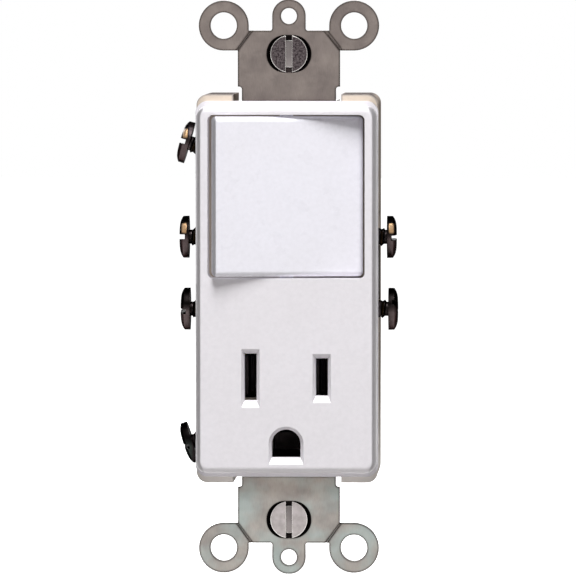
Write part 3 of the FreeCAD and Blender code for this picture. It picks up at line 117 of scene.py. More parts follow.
# Where each finish and each painted shade, light, glow and reflection sets in: none at the
# first value and full at the second. Places are in mm, tilts are parts of the surface's normal
GAP_DEPTH = (FACE_PLANE - 0.1, FACE_PLANE + 0.5)
GAP_HEIGHT = (0.5, 1.0)
GAP_TILT = (-0.8, -0.5)
GAP_ACROSS = (18.0, -13.0)
SIDE_TILT = (0.17, 0.35)
SIDE_START = (11.0, 12.0)
HOUSING_TILT = (0.3, 0.7)
HOUSING_REAR = (-1.5, 10.0)
HOUSING_FOOT = (-20.0, -33.0)
STRAP_TOP = (-40.0, 30.0)
LOWER_PLATE = (-30.0, -36.0)
NECK_FOOT = (-38.5, -36.5)
NECK_TOP = (-30.0, -34.0)
SINK_TILT = (0.97, 0.9)
SINK_REACH = (6.5, 6.0)
FIN_START = (14.6, 15.2)
PAINTED_REFLECTION_HEIGHT = (-0.6, 1.0)
STRUCK_FACE = (0.2, 0.1)
OUTLINE_ROOM = (0.98, 0.6)         # part of the rays into the piece that meet no other side
STAIN_GRAIN = (0.42, 0.62)         # level of the noise in which a stain shows
SPECK_GRAIN = (0.36, 0.7)

# How strongly some finishes and the painted shade and glow show
STEEP_SIDES = 5.5                  # times the tilt of the rounding at the sides
SIDE_PAINTED_SHADE = 0.3
PAINTED_GAP_GLOW = 0.17
STAIN_SHARE = 0.4
LINE_SHARE = 0.35
WEAR_REACH = 1.6                   # width of a worn edge, in radii of the rounding
DRAWN_LINES = (1, 1, 0.12)         # stretch of the grain in drawn or rolled metal
NO_LINES = (1, 1, 1)

HEAD_SIDES = 72
HEAD_RINGS = 20
SHANK_SIDES = 48
THREAD_STEPS = 40                  # steps in one turn of the thread
DOME_POWER = 4.5                   # a high power keeps the middle flat and drops the rim
RUN_OUT = 14.0                     # each end of the thread fades over 1/14 of its length
SMOOTH_ANGLE = math.radians(32)
EDGE_ANGLE = math.radians(38)


def linear(text):
    """sRGB hex to a linear colour."""
    parts = [int(text[i:i + 2], 16) / 255 for i in (1, 3, 5)]
    return tuple(p / 12.92 if p <= 0.04045 else ((p + 0.055) / 1.055) ** 2.4
                 for p in parts) + (1.0,)


def add(tree, kind, inputs=None, **settings):
    """Add a node, with its settings, and with its inputs linked or filled."""
    node = tree.nodes.new(kind)
    for name, setting in settings.items():
        setattr(node, name, setting)
    for name, source in (inputs or {}).items():
        if isinstance(source, bpy.types.NodeSocket):
            tree.links.new(source, node.inputs[name])
        else:
            node.inputs[name].default_value = source
    return node


def maths(tree, operation, *terms):
    """Value of a Math node on sockets or numbers."""
    return add(tree, "ShaderNodeMath", dict(enumerate(terms)),
               operation=operation).outputs["Value"]


def product(tree, *shares):
    """All the given shares multiplied."""
    whole = shares[0]
    for share in shares[1:]:
        whole = maths(tree, "MULTIPLY", whole, share)
    return whole


def split(tree, vector):
    """X, Y and Z of a vector."""
    return add(tree, "ShaderNodeSeparateXYZ", {"Vector": vector}).outputs


def combined(tree, **parts):
    """Vector of the given X, Y and Z, with zero for those left out."""
    return add(tree, "ShaderNodeCombineXYZ", parts).outputs["Vector"]


def between(tree, source, low, high):
    """0 below low, 1 above high, or the reverse when low is the larger."""
    return add(tree, "ShaderNodeMapRange",
               {"Value": source, "From Min": low, "From Max": high}).outputs["Result"]


def ramp(tree, source, stops):
    """Colour ramp with stops of (position, hex colour or grey level)."""
    node = add(tree, "ShaderNodeValToRGB", {"Fac": source})
    while len(node.color_ramp.elements) < len(stops):
        node.color_ramp.elements.new(0.5)
    for element, (place, shade) in zip(node.color_ramp.elements, stops):
        element.position = place
        element.color = linear(shade) if isinstance(shade, str) else (shade,) * 3 + (1.0,)
    return node.outputs["Color"]


def blend(tree, share, first, second, kind="MIX"):
    """Mix two colours, each a socket, a linear colour or sRGB hex."""
    tones = [linear(c) if isinstance(c, str) else c for c in (first, second)]
    return add(tree, "ShaderNodeMixRGB", {"Fac": share, "Color1": tones[0], "Color2": tones[1]},
               blend_type=kind).outputs["Color"]


def grain(tree, size_mm, detail=2.0, stretch=(1, 1, 1)):
    """Noise on Object coordinates with features of the given size."""
    place = add(tree, "ShaderNodeTexCoord")
    moved = add(tree, "ShaderNodeMapping",
                {"Vector": place.outputs["Object"], "Scale": stretch})
    noise = add(tree, "ShaderNodeTexNoise",
                {"Vector": moved.outputs["Vector"], "Scale": 1 / (size_mm * MM),
                 "Detail": detail})
    return noise.outputs["Fac"]


def place_axes(tree, centre=(0, 0, 0)):
    """X, Y and Z of the Object coordinates, in millimetres from a centre."""
    place = add(tree, "ShaderNodeTexCoord")
    moved = add(tree, "ShaderNodeVectorMath",
                {0: place.outputs["Object"], 1: tuple(c * MM for c in centre)},
                operation="SUBTRACT")
    scaled = add(tree, "ShaderNodeVectorMath", {0: moved.outputs["Vector"], "Scale": 1 / MM},
                 operation="SCALE")
    return split(tree, scaled.outputs["Vector"])


def facing(tree):
    """X, Y and Z of the way in which the surface faces, in Object coordinates."""
    return split(tree, add(tree, "ShaderNodeTexCoord").outputs["Normal"])


def patch(tree, centre, size, soft):
    """1 inside a box of the given half sizes (mm) at a centre, with a soft share at its rim."""
    return product(tree, *(
        between(tree, maths(tree, "ABSOLUTE", part), half, half * (1 - soft))
        for part, half in zip(place_axes(tree, centre), size)))


def rounded_normal(tree, radius_mm):
    """Surface normal with every edge rounded over."""
    return add(tree, "ShaderNodeBevel", {"Radius": radius_mm * MM}, samples=4).outputs["Normal"]


def edge_mask(tree, radius_mm):
    """1 on edges, 0 on flats, from how far the rounded normal leaves the flat one."""
    flat = add(tree, "ShaderNodeNewGeometry")
    likeness = add(tree, "ShaderNodeVectorMath",
                   {0: rounded_normal(tree, radius_mm), 1: flat.outputs["Normal"]},
                   operation="DOT_PRODUCT")
    return ramp(tree, likeness.outputs["Value"], ((0.90, 1.0), (0.995, 0.0)))


def outline(tree, width_mm):
    """1 along the edges of a piece, 0 further in than the width."""
    room = add(tree, "ShaderNodeAmbientOcclusion", {"Distance": width_mm * MM},
               inside=True, samples=8)
    return between(tree, room.outputs["AO"], *OUTLINE_ROOM)


def gap_walls(tree):
    """Where the painted glow shows: 1 on the walls of the rocker's gap at its left end, less
    towards its right end.
    """
    axes = place_axes(tree)
    return product(tree, between(tree, axes["Y"], *GAP_DEPTH),
                   between(tree, axes["Z"], *GAP_HEIGHT),
                   between(tree, facing(tree)["Y"], *GAP_TILT),
                   between(tree, axes["X"], *GAP_ACROSS))


def new_material(name):
    """Empty node material with its output and Principled shader."""
    material = bpy.data.materials.new(name)
    material.use_nodes = True
    tree = material.node_tree
    tree.nodes.clear()
    shader = add(tree, "ShaderNodeBsdfPrincipled")
    add(tree, "ShaderNodeOutputMaterial", {"Surface": shader.outputs["BSDF"]})
    return material, tree, shader


def set_surface(tree, shader, base, rough, relief, depth_mm, strength, normal):
    """Link colour, roughness and the fine relief of a surface to its shader."""
    skin = add(tree, "ShaderNodeBump", {"Height": relief, "Distance": depth_mm * MM,
                                        "Strength": strength, "Normal": normal})
    tree.links.new(base, shader.inputs["Base Color"])
    tree.links.new(rough, shader.inputs["Roughness"])
    tree.links.new(skin.outputs["Normal"], shader.inputs["Normal"])


def moulded_plastic(name, colour, roughness, edge_mm=0.15, texture_mm=0.35, depth_mm=0.004,
                    steep=1.0, left_only=False, marks=None, painted_glow=0.0, gloss=0.3):
    """Injection-moulded thermoplastic: an even colour, a soft gloss broken by the fine
    texture of the mould, and edges that catch the light because none is truly sharp.
    steep turns the rounding at the left and right edges into a steeper side with painted
    shade in its colour, or that at the left edge only. marks(tree, base) returns the base
    colour with what belongs to one piece alone. painted_glow is the strength of a painted glow
    on the walls of the wider gap at the paddle's left. gloss is the strength of the highlight."""
    material, tree, shader = new_material(name)
    # Painted glow: the gap's walls give off light in the plastic's own colour
    if painted_glow:
        shader.inputs["Emission Color"].default_value = linear(colour)
        tree.links.new(product(tree, gap_walls(tree), painted_glow),
                       shader.inputs["Emission Strength"])
    drift = ramp(tree, grain(tree, size_mm=14.0), ((0.35, 0.0), (0.65, 0.06)))
    base = blend(tree, drift, colour, AGED_TONE)
    speckle = ramp(tree, grain(tree, size_mm=0.7, detail=4.0), ((0.3, 0.95), (0.7, 1.0)))
    base = blend(tree, 1.0, base, speckle, "MULTIPLY")
    if marks:
        base = marks(tree, base)
    normal = rounded_normal(tree, edge_mm)
    if steep > 1:
        parts = split(tree, normal)
        tilt = maths(tree, "MULTIPLY" if left_only else "ABSOLUTE", parts["X"], -1.0)
        away = maths(tree, "ABSOLUTE", place_axes(tree)["X"])
        side = product(tree, between(tree, tilt, *SIDE_TILT), between(tree, away, *SIDE_START))
        # Painted shade: the side roundings get a darker colour
        base = blend(tree, product(tree, side, SIDE_PAINTED_SHADE), base, "#6F6A6B")
        growth = maths(tree, "MULTIPLY_ADD", side, steep - 1, 1.0)
        leaning = combined(tree, X=product(tree, parts["X"], growth), Y=parts["Y"], Z=parts["Z"])
        normal = add(tree, "ShaderNodeVectorMath", {0: leaning},
                     operation="NORMALIZE").outputs["Vector"]
    shader.inputs["IOR"].default_value = 1.5
    shader.inputs["Specular IOR Level"].default_value = gloss
    rough = ramp(tree, grain(tree, size_mm=3.0, detail=4.0),
                 ((0.3, roughness - 0.05), (0.7, roughness + 0.06)))
    set_surface(tree, shader, base, rough, relief=grain(tree, texture_mm),
                depth_mm=depth_mm, strength=0.5, normal=normal)
    return material


def plated_metal(name, dark, light, roughness, worn=None, edge_mm=0.12, lines=DRAWN_LINES,
                 wear=0.6, rim=1.0, marks=None):
    """Plated sheet or wire: blotches of thicker and thinner plating, fine drawn lines
    along the rolling direction, and edges worn brighter than the flats. rim is how much
    the metal still mirrors at a glancing angle. marks(tree, base) returns the base colour
    with what belongs to one piece alone."""
    material, tree, shader = new_material(name)
    base = ramp(tree, grain(tree, size_mm=4.0, detail=5.0), ((0.32, dark), (0.68, light)))
    fine = grain(tree, size_mm=0.12, detail=3.0, stretch=lines)
    shade = ramp(tree, fine, ((0.25, 0.55), (0.75, 1.0)))
    base = blend(tree, LINE_SHARE, base, shade, "MULTIPLY")
    if marks:
        base = marks(tree, base)
    if worn:
        edges = edge_mask(tree, edge_mm * WEAR_REACH)
        base = blend(tree, product(tree, edges, wear), base, worn)
    shader.inputs["Metallic"].default_value = 1.0
    shader.inputs["Specular Tint"].default_value = (rim, rim, rim, 1)
    rough = ramp(tree, grain(tree, size_mm=1.6, detail=4.0),
                 ((0.3, roughness - 0.07), (0.7, roughness + 0.08)))
    set_surface(tree, shader, base, rough, relief=fine, depth_mm=0.004, strength=0.4,
                normal=rounded_normal(tree, edge_mm))
    return material


def dress(material, *names):
    """Give CAD nodes one material on every slot."""
    for name in names:
        slots = NODES[name].data.materials
        if not slots:
            slots.append(material)
        for i in range(len(slots)):
            slots[i] = material


# Geometry Nodes: one screw

def screw_tree():
    """Screw along +Z: head above zero, threaded shank below, and a slot across the head."""
    tree = bpy.data.node_groups.new("threaded screw", "GeometryNodeTree")
    face = tree.interface
    for label, kind in (("Head Top", "Float"), ("Head Bottom", "Float"), ("Head Height", "Float"),
                        ("Dome", "Float"), ("Shank", "Float"), ("Length", "Float"),
                        ("Pitch", "Float"), ("Thread Depth", "Float"), ("Slot Width", "Float"),
                        ("Slot Depth", "Float"), ("Neck", "Float"), ("Place", "Vector"),
                        ("Turn", "Rotation"), ("Finish", "Material")):
        face.new_socket(label, in_out="INPUT", socket_type=f"NodeSocket{kind}")
    face.new_socket("Geometry", in_out="OUTPUT", socket_type="NodeSocketGeometry")
    given = add(tree, "NodeGroupInput").outputs

    def value(operation, *terms):
        return maths(tree, operation, *terms)

    def at_height(shape, height):
        return add(tree, "GeometryNodeTransform",
                   {"Geometry": shape, "Translation": combined(tree, Z=height)}).outputs["Geometry"]

    # Only the points of the head's top rise, less the further they are from the axis
    head = add(tree, "GeometryNodeMeshCone",
               {"Vertices": HEAD_SIDES, "Side Segments": 1, "Fill Segments": HEAD_RINGS,
                "Radius Top": given["Head Top"], "Radius Bottom": given["Head Bottom"],
                "Depth": given["Head Height"]})
    parts = split(tree, add(tree, "GeometryNodeInputPosition").outputs["Position"])
    reach = add(tree, "ShaderNodeVectorMath", {0: combined(tree, X=parts["X"], Y=parts["Y"])},
                operation="LENGTH")
    share = value("DIVIDE", reach.outputs["Value"], given["Head Top"])
    rise = value("MULTIPLY", value("SUBTRACT", 1.0, value("POWER", share, DOME_POWER)),
                 given["Dome"])
    upper = value("GREATER_THAN", parts["Z"], value("MULTIPLY", given["Head Height"], 0.99))
    domed = add(tree, "GeometryNodeSetPosition",
                {"Geometry": head.outputs["Mesh"], "Selection": upper,
                 "Offset": combined(tree, Z=rise)})
    # The cutter is longer than the head is wide, and half of its depth is above the head
    slot_size = combined(tree, X=given["Slot Width"],
                         Y=value("MULTIPLY", given["Head Top"], 3.0),
                         Z=value("MULTIPLY", given["Slot Depth"], 2.0))
    blade = add(tree, "GeometryNodeMeshCube", {"Size": slot_size})
    blade = at_height(blade.outputs["Mesh"], value("ADD", given["Head Height"], given["Dome"]))
    slotted = add(tree, "GeometryNodeMeshBoolean", {"Mesh 1": domed.outputs["Geometry"]},
                  operation="DIFFERENCE", solver="EXACT")
    tree.links.new(blade, slotted.inputs["Mesh 2"])

    # The core reaches one pitch up into the head
    core_radius = value("SUBTRACT", given["Shank"], given["Thread Depth"])
    core = add(tree, "GeometryNodeMeshCylinder",
               {"Vertices": SHANK_SIDES, "Radius": core_radius,
                "Depth": value("ADD", given["Length"], given["Pitch"])})
    middle = value("MULTIPLY", value("SUBTRACT", given["Pitch"], given["Length"]), 0.5)
    core = at_height(core.outputs["Mesh"], middle)
    threaded = value("SUBTRACT", given["Length"], given["Neck"])
    helix = add(tree, "GeometryNodeCurveSpiral",
                {"Resolution": THREAD_STEPS, "Rotations": value("DIVIDE", threaded, given["Pitch"]),
                 "Start Radius": core_radius, "End Radius": core_radius, "Height": threaded})
    # Both ends of the thread run out into the core
    along = add(tree, "GeometryNodeSplineParameter").outputs["Factor"]
    ends = value("SUBTRACT", 0.5, value("ABSOLUTE", value("SUBTRACT", along, 0.5)))
    full = value("MINIMUM", value("MULTIPLY", ends, RUN_OUT), 1.0)
    ridge = add(tree, "GeometryNodeCurvePrimitiveCircle",
                {"Resolution": 4, "Radius": given["Thread Depth"]})
    thread = add(tree, "GeometryNodeCurveToMesh",
                 {"Curve": helix.outputs["Curve"], "Profile Curve": ridge.outputs["Curve"],
                  "Scale": full, "Fill Caps": True})
    thread = at_height(thread.outputs["Mesh"], value("MULTIPLY", given["Length"], -1.0))

    joined = add(tree, "GeometryNodeJoinGeometry")
    for shape in (slotted.outputs["Mesh"], core, thread):
        tree.links.new(shape, joined.inputs["Geometry"])
    placed = add(tree, "GeometryNodeTransform",
                 {"Geometry": joined.outputs["Geometry"], "Translation": given["Place"],
                  "Rotation": given["Turn"]})
    real = add(tree, "GeometryNodeRealizeInstances", {"Geometry": placed.outputs["Geometry"]})
    coated = add(tree, "GeometryNodeSetMaterial",
                 {"Geometry": real.outputs["Geometry"], "Material": given["Finish"]})
    add(tree, "NodeGroupOutput", {"Geometry": coated.outputs["Geometry"]})
    return tree


def plain_mesh(piece, name):
    """Turn an object with modifiers into a plain mesh object that shades by angle."""
    bpy.context.view_layer.update()
    evaluated = piece.evaluated_get(bpy.context.evaluated_depsgraph_get())
    mesh = bpy.data.meshes.new_from_object(evaluated)
    mesh.name = name
    bpy.data.objects.remove(piece)
    mesh.shade_smooth()
    mesh.set_sharp_from_angle(angle=SMOOTH_ANGLE)
    made = bpy.data.objects.new(name, mesh)
    bpy.context.scene.collection.objects.link(made)
    return made


def make_screw(tree, name, values, round_mm):
    """Run the screw tree with the given inputs and return a plain mesh."""
    piece = bpy.data.objects.new(name, bpy.data.meshes.new(name))
    bpy.context.scene.collection.objects.link(piece)
    modifier = piece.modifiers.new("screw", "NODES")
    modifier.node_group = tree
    for item in tree.interface.items_tree:
        if item.item_type == "SOCKET" and item.in_out == "INPUT":
            modifier[item.identifier] = values[item.name]
    edges = piece.modifiers.new("edges", "BEVEL")
    edges.width = round_mm * MM
    edges.segments = 3
    edges.limit_method = "ANGLE"
    edges.angle_limit = EDGE_ANGLE
    edges.use_clamp_overlap = True
    return plain_mesh(piece, name)


def aimed(direction, turn_deg):
    """Rotation that points +Z along direction after a turn about it."""
    spin = Quaternion((0, 0, 1), math.radians(turn_deg))
    return (Vector((0, 0, 1)).rotation_difference(Vector(direction)) @ spin).to_euler()


# Surroundings

def seen_directly(tree):
    """1 for what the camera sees itself or in a mirror, 0 for what lights the object."""
    path = add(tree, "ShaderNodeLightPath").outputs
    return maths(tree, "MAXIMUM", path["Is Camera Ray"], path["Is Glossy Ray"])


def place_camera(scene, studio):
    """Camera on a long lens, turned and raised round the picture's centre."""
    data = bpy.data.cameras.new("camera")
    camera = bpy.data.objects.new("camera", data)
    scene.collection.objects.link(camera)
    aim = Vector((studio.aim_x, 0, studio.aim_z))
    side, up = studio.azimuth, studio.elevation
    away = Vector((math.sin(side) * math.cos(up), -math.cos(side) * math.cos(up), math.sin(up)))
    camera.location = aim + away * studio.distance
    camera.rotation_euler = Euler((math.pi / 2 - up, 0, side))
    data.sensor_width = SENSOR
    data.lens = studio.pixels_per_mm / MM * studio.distance * SENSOR / PICTURE
    data.clip_end = VIEW_REACH
    scene.camera = camera


def place_lamps(scene):
    """Soft lamps that point at the origin."""
    for name, place, size, power in LAMPS:
        lamp = bpy.data.lights.new(name, "AREA")
        lamp.shape = "RECTANGLE"
        lamp.size, lamp.size_y = size
        lamp.energy = power
        light = bpy.data.objects.new(name, lamp)
        light.location = place
        light.rotation_euler = (-Vector(place)).to_track_quat("-Z", "Y").to_euler()
        scene.collection.objects.link(light)


def white_surroundings():
    """World that looks white, and lights the object as a room that is dim in front of it
    and pale on its other sides."""
    world = bpy.data.worlds.new("white surroundings")
    world.use_nodes = True
    tree = world.node_tree
    tree.nodes.clear()
    axes = split(tree, add(tree, "ShaderNodeTexCoord").outputs["Generated"])
    room = ramp(tree, between(tree, axes["Y"], -1.0, 1.0), ROOM_LIGHT)
    lit = add(tree, "ShaderNodeBackground", {"Color": room, "Strength": 1.0})
    shown = add(tree, "ShaderNodeBackground", {"Color": WHITE, "Strength": 1.0})
    mixed = add(tree, "ShaderNodeMixShader",
                {"Fac": seen_directly(tree), 1: lit.outputs["Background"],
                 2: shown.outputs["Background"]})
    add(tree, "ShaderNodeOutputWorld", {"Surface": mixed.outputs["Shader"]})
    return world


def matt_paper():
    """Paper that looks white, and throws the light of a mid-grey table on the object."""
    paper = bpy.data.materials.new("matt white paper")
    paper.use_nodes = True
    tree = paper.node_tree
    tree.nodes.clear()
    seen = seen_directly(tree)
    tone = blend(tree, seen, TABLE_TONE, PAPER_TONE)
    matt = add(tree, "ShaderNodeBsdfDiffuse", {"Color": tone})
    glow = add(tree, "ShaderNodeEmission", {"Color": WHITE, "Strength": seen})
    both = add(tree, "ShaderNodeAddShader", {0: matt.outputs["BSDF"],
                                             1: glow.outputs["Emission"]})
    add(tree, "ShaderNodeOutputMaterial", {"Surface": both.outputs["Shader"]})
    return paper


# Settings a user would change

class ReceptacleFinish(bpy.types.PropertyGroup):
    cover_colour: bpy.props.StringProperty(
        name="Cover", description="Colour of the cover, sRGB hex", default="#E8E5EA")
    housing_colour: bpy.props.StringProperty(
        name="Housing", description="Colour of the back housing, sRGB hex", default="#D9CBBB")
    strap_dark: bpy.props.StringProperty(
        name="Strap, dark", description="Darker blotches of the zinc, sRGB hex",
        default="#7C7773")
    strap_light: bpy.props.StringProperty(
        name="Strap, light", description="Lighter blotches of the zinc, sRGB hex",
        default="#918C86")
    oxide_colour: bpy.props.StringProperty(
        name="Terminal screws", description="Black oxide of the screws, sRGB hex",
        default="#3B3232")


class ScrewSizes(bpy.types.PropertyGroup):
    pitch: bpy.props.FloatProperty(
        name="Pitch", description="Thread pitch of a 6-32 screw", default=0.794 * MM,
        unit="LENGTH", precision=5)
    thread_depth: bpy.props.FloatProperty(
        name="Thread depth", description="Height of the thread's ridge", default=0.42 * MM,
        unit="LENGTH", precision=5)
    dome: bpy.props.FloatProperty(
        name="Dome", description="Rise of a terminal screw's head", default=0.7 * MM,
        unit="LENGTH", precision=5)


class StudioSettings(bpy.types.PropertyGroup):
    azimuth: bpy.props.FloatProperty(
        name="Azimuth", description="Camera to the object's right", default=math.radians(1.8),
        subtype="ANGLE")
    elevation: bpy.props.FloatProperty(
        name="Elevation", description="Camera above level", default=math.radians(2.1),
        subtype="ANGLE")
    distance: bpy.props.FloatProperty(
        name="Distance", description="Camera to the strap", default=1.5, unit="LENGTH")
    pixels_per_mm: bpy.props.FloatProperty(
        name="Pixels per mm", description="Scale of the picture at the strap", default=5.59)
    aim_x: bpy.props.FloatProperty(
        name="Aim across", description="Picture centre from the origin, across",
        default=-0.2 * MM, unit="LENGTH", precision=5)
    aim_z: bpy.props.FloatProperty(
        name="Aim up", description="Picture centre from the origin, up",
        default=-0.23 * MM, unit="LENGTH", precision=5)


# Steps, in the order in which they run

class RECEPTACLE_OT_stage(bpy.types.Operator):
    """Floor, soft lights, white surroundings and the camera"""
    bl_idname = "receptacle.stage"
    bl_label = "Stage"

    def execute(self, context):
        scene = context.scene
        scene.view_settings.view_transform = "Standard"
        place_camera(scene, scene.receptacle_studio)
        place_lamps(scene)
        scene.world = white_surroundings()

        level = CAD_BOX[0][2]
        mesh = bpy.data.meshes.new("floor")
        corners = ((-1, -1), (1, -1), (1, 1), (-1, 1))
        mesh.from_pydata([(x * FLOOR_REACH, y * FLOOR_REACH, level) for x, y in corners],
                         [], [(0, 1, 2, 3)])
        mesh.materials.append(matt_paper())
        floor = bpy.data.objects.new("floor", mesh)
        scene.collection.objects.link(floor)
        return {"FINISHED"}


class RECEPTACLE_OT_mouldings(bpy.types.Operator):
    """White cover and paddle, ivory housing and the nylon plunger"""
    bl_idname = "receptacle.mouldings"
    bl_label = "Mouldings"

    def execute(self, context):
        finish = context.scene.receptacle_finish
        dress(moulded_plastic("moulded cover thermoplastic", finish.cover_colour,
                              roughness=0.34, steep=STEEP_SIDES, painted_glow=PAINTED_GAP_GLOW),
              "front_cover")
        dress(moulded_plastic("moulded paddle thermoplastic", "#EDECF4", roughness=0.3,
                              steep=STEEP_SIDES, left_only=True, painted_glow=PAINTED_GAP_GLOW),
              "rocker_paddle")
        dress(moulded_plastic("moulded ivory thermoplastic", finish.housing_colour,
                              roughness=0.45, edge_mm=0.4, marks=self.housing_painted_shade_and_light, gloss=0.0),
              "back_housing")
        dress(moulded_plastic("moulded natural nylon", "#DAD8CC", roughness=0.4, edge_mm=0.05),
              "plunger")
        return {"FINISHED"}

    @staticmethod
    def housing_painted_shade_and_light(tree, base):
        """Painted shade on the housing's top, along its edges and on the rear of its sides, and
        painted light that makes its lower end paler and greyer, where the cover shades it."""
        axes = place_axes(tree)
        tilts = facing(tree)
        # Painted shade on the surfaces that face up
        base = blend(tree, between(tree, tilts["Z"], *HOUSING_TILT), base, "#6E6866")
        # Painted shade along the edges
        base = blend(tree, outline(tree, width_mm=0.4), base, "#A59D98")
        # Painted shade on the rear of the sides
        side = between(tree, maths(tree, "ABSOLUTE", tilts["X"]), *HOUSING_TILT)
        rear = product(tree, side, between(tree, axes["Y"], *HOUSING_REAR))
        base = blend(tree, rear, base, "#A1968D")
        # Painted light: paler and greyer towards the lower end, under the cover's shadow
        return blend(tree, between(tree, axes["Z"], *HOUSING_FOOT), base, "#EDE8E3")


class RECEPTACLE_OT_strap(bpy.types.Operator):
    """Zinc-plated sheet steel strap, its rivet and washers"""
    bl_idname = "receptacle.strap"
    bl_label = "Strap"

    def execute(self, context):
        finish = context.scene.receptacle_finish
        dress(plated_metal("zinc-plated sheet steel", finish.strap_dark, finish.strap_light,
                           roughness=0.42, edge_mm=0.2, marks=self.strap_tones_and_painted_shade), "mounting_strap")
        # Painted shade: the rivet seen through the ground hole is near black
        dress(plated_metal("rivet brass painted dark as the ground hole's shade", "#1D1919", "#2B2626", roughness=0.45,
                           worn="#4A4540"), "ground_rivet")
        dress(moulded_plastic("pressed vulcanised fibre", "#6B4632", roughness=0.7,
                              texture_mm=0.2, depth_mm=0.02),
              "screw_washer_top", "screw_washer_bottom")
        return {"FINISHED"}

    @staticmethod
    def strap_tones_and_painted_shade(tree, base):
        """Darker towards the top, a faint blue-green near the lower plate, and painted shade
        along the outline, on the neck and in the countersunk slots.
        """
        axes = place_axes(tree)
        base = blend(tree, between(tree, axes["Z"], *STRAP_TOP), base,
                     blend(tree, 1.0, base, "#DAD2D2", "MULTIPLY"))
        stain = between(tree, grain(tree, size_mm=6.0, detail=3.0), *STAIN_GRAIN)
        stain = product(tree, stain, between(tree, axes["Z"], *LOWER_PLATE), STAIN_SHARE)
        base = blend(tree, stain, base, "#8C9E9C")
        # Painted shade along the outline, where the punch rounded the edges over
        base = blend(tree, outline(tree, width_mm=0.4), base, "#38322F")
        # Painted shadow on the neck between the body and the lower plate, below the cover
        neck = product(tree, between(tree, axes["Z"], *NECK_FOOT),
                       between(tree, axes["Z"], *NECK_TOP))
        base = blend(tree, neck, base, blend(tree, 1.0, base, "#E2DEDC", "MULTIPLY"))
        # Painted shade in the countersunk slots
        height = maths(tree, "SUBTRACT", maths(tree, "ABSOLUTE", axes["Z"]), MOUNT_HEIGHT)
        reach = add(tree, "ShaderNodeVectorMath", {0: combined(tree, X=axes["X"], Z=height)},
                    operation="LENGTH").outputs["Value"]
        flat = maths(tree, "ABSOLUTE", facing(tree)["Y"])
        sunk = product(tree, between(tree, flat, *SINK_TILT), between(tree, reach, *SINK_REACH))
        return blend(tree, sunk, base, "#171313")


class RECEPTACLE_OT_contacts(bpy.types.Operator):
    """Stamped brass strips, spring contacts, contact buttons and the spring"""
    bl_idname = "receptacle.contacts"
    bl_label = "Contacts"

    def execute(self, context):
        dress(plated_metal("stamped yellow brass", "#A98748", "#C6A55C", roughness=0.36,
                           worn="#DCC588"),
              "neutral_plate", "traveller_plate_lower", "traveller_plate_upper",
              "seesaw_contact")
        dress(plated_metal("stamped brass with a fin in painted shade", "#A98748", "#C6A55C",
                           roughness=0.36, marks=self.painted_fin_shade), "line_bus")
        # Painted shade: the contacts seen through the slots are near black
        dress(plated_metal("spring brass painted dark as the slots' shade", "#211D1E", "#383334", roughness=0.42,
                           worn="#6A6664", wear=0.4),
              "neutral_contact", "hot_contact", "ground_contact")
        dress(plated_metal("silver contact alloy", "#B9B8B4", "#DAD9D6", roughness=0.25),
              "moving_contact_buttons", "fixed_contact_buttons")
        dress(plated_metal("drawn spring wire", "#77757A", "#9A989B", roughness=0.3),
              "plunger_spring")
        return {"FINISHED"}

    @staticmethod
    def painted_fin_shade(tree, base):
        """Painted shade on the break-off fin outside the housing."""
        return blend(tree, between(tree, place_axes(tree)["X"], *FIN_START), base, "#2B2521")


class RECEPTACLE_OT_terminal_screws(bpy.types.Operator):
    """Six binding-head terminal screws with rolled threads"""
    bl_idname = "receptacle.terminal_screws"
    bl_label = "Terminal screws"

    def execute(self, context):
        sizes = context.scene.receptacle_screws
        oxide = context.scene.receptacle_finish.oxide_colour
        tree = screw_tree()
        for name, (across, up), (out_x, out_z), turn, copper in TERMINAL_SCREWS:
            green = name == "ground_screw"
            finish = plated_metal(
                f"{'green-black' if green else 'black'} oxide, {name.replace('_', ' ')}",
                "#232725" if green else oxide, "#2C2F2D" if green else "#4A4141",
                roughness=0.34, worn="#6E6664", wear=0.12, edge_mm=0.1, lines=NO_LINES, rim=0.1,
                marks=self.rubbed((across, up), (out_x, out_z), copper))
            piece = make_screw(tree, f"threaded_{name}", {
                "Head Top": 3.78 * MM, "Head Bottom": 3.8 * MM, "Head Height": 1.05 * MM,
                "Dome": sizes.dome, "Shank": 1.7 * MM, "Length": 5.0 * MM,
                "Pitch": sizes.pitch, "Thread Depth": sizes.thread_depth,
                "Slot Width": 0.87 * MM, "Slot Depth": 1.05 * MM, "Neck": 0.35 * MM,
                "Place": Vector((across, AXIS_DEPTH, up)) * MM,
                "Turn": aimed((out_x, 0, out_z), turn), "Finish": finish}, round_mm=0.1)
            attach(piece, name)
            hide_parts(name)
        return {"FINISHED"}

    @staticmethod
    def rubbed(place, out, copper):
        """Painted dark reflection on the upper half of the head, oxide even and dark on the shank,
        and oxide gone in one spot of the rim, where dull copper alloy shows."""
        def marks(tree, base):
            across, up = (start + way * HEAD_MIDDLE for start, way in zip(place, out))
            side = 1 if out[0] > 0 else -1
            height = place_axes(tree, (across, AXIS_DEPTH, up))["Z"]
            # Painted reflection: the upper half of the head is blacker
            base = blend(tree, between(tree, height, *PAINTED_REFLECTION_HEIGHT), base, "#0B0909")
            inner = place_axes(tree, (place[0], AXIS_DEPTH, place[1]))["X"]
            shank = between(tree, inner, SHANK_START * side, -SHANK_START * side)
            base = blend(tree, shank, base, "#2C2728")
            if copper:
                centre = (across + out[0] * SPOT_OUT - out[1] * SPOT_ALONG * side,
                          AXIS_DEPTH - SPOT_FRONT, up + SPOT_UP)
                spot = product(tree, patch(tree, centre, SPOT_HALF, SPOT_SOFT), copper)
                base = blend(tree, spot, base, "#AD8C68")
                tree.links.new(maths(tree, "SUBTRACT", 1.0, spot),
                               tree.nodes["Principled BSDF"].inputs["Metallic"])
            return base
        return marks


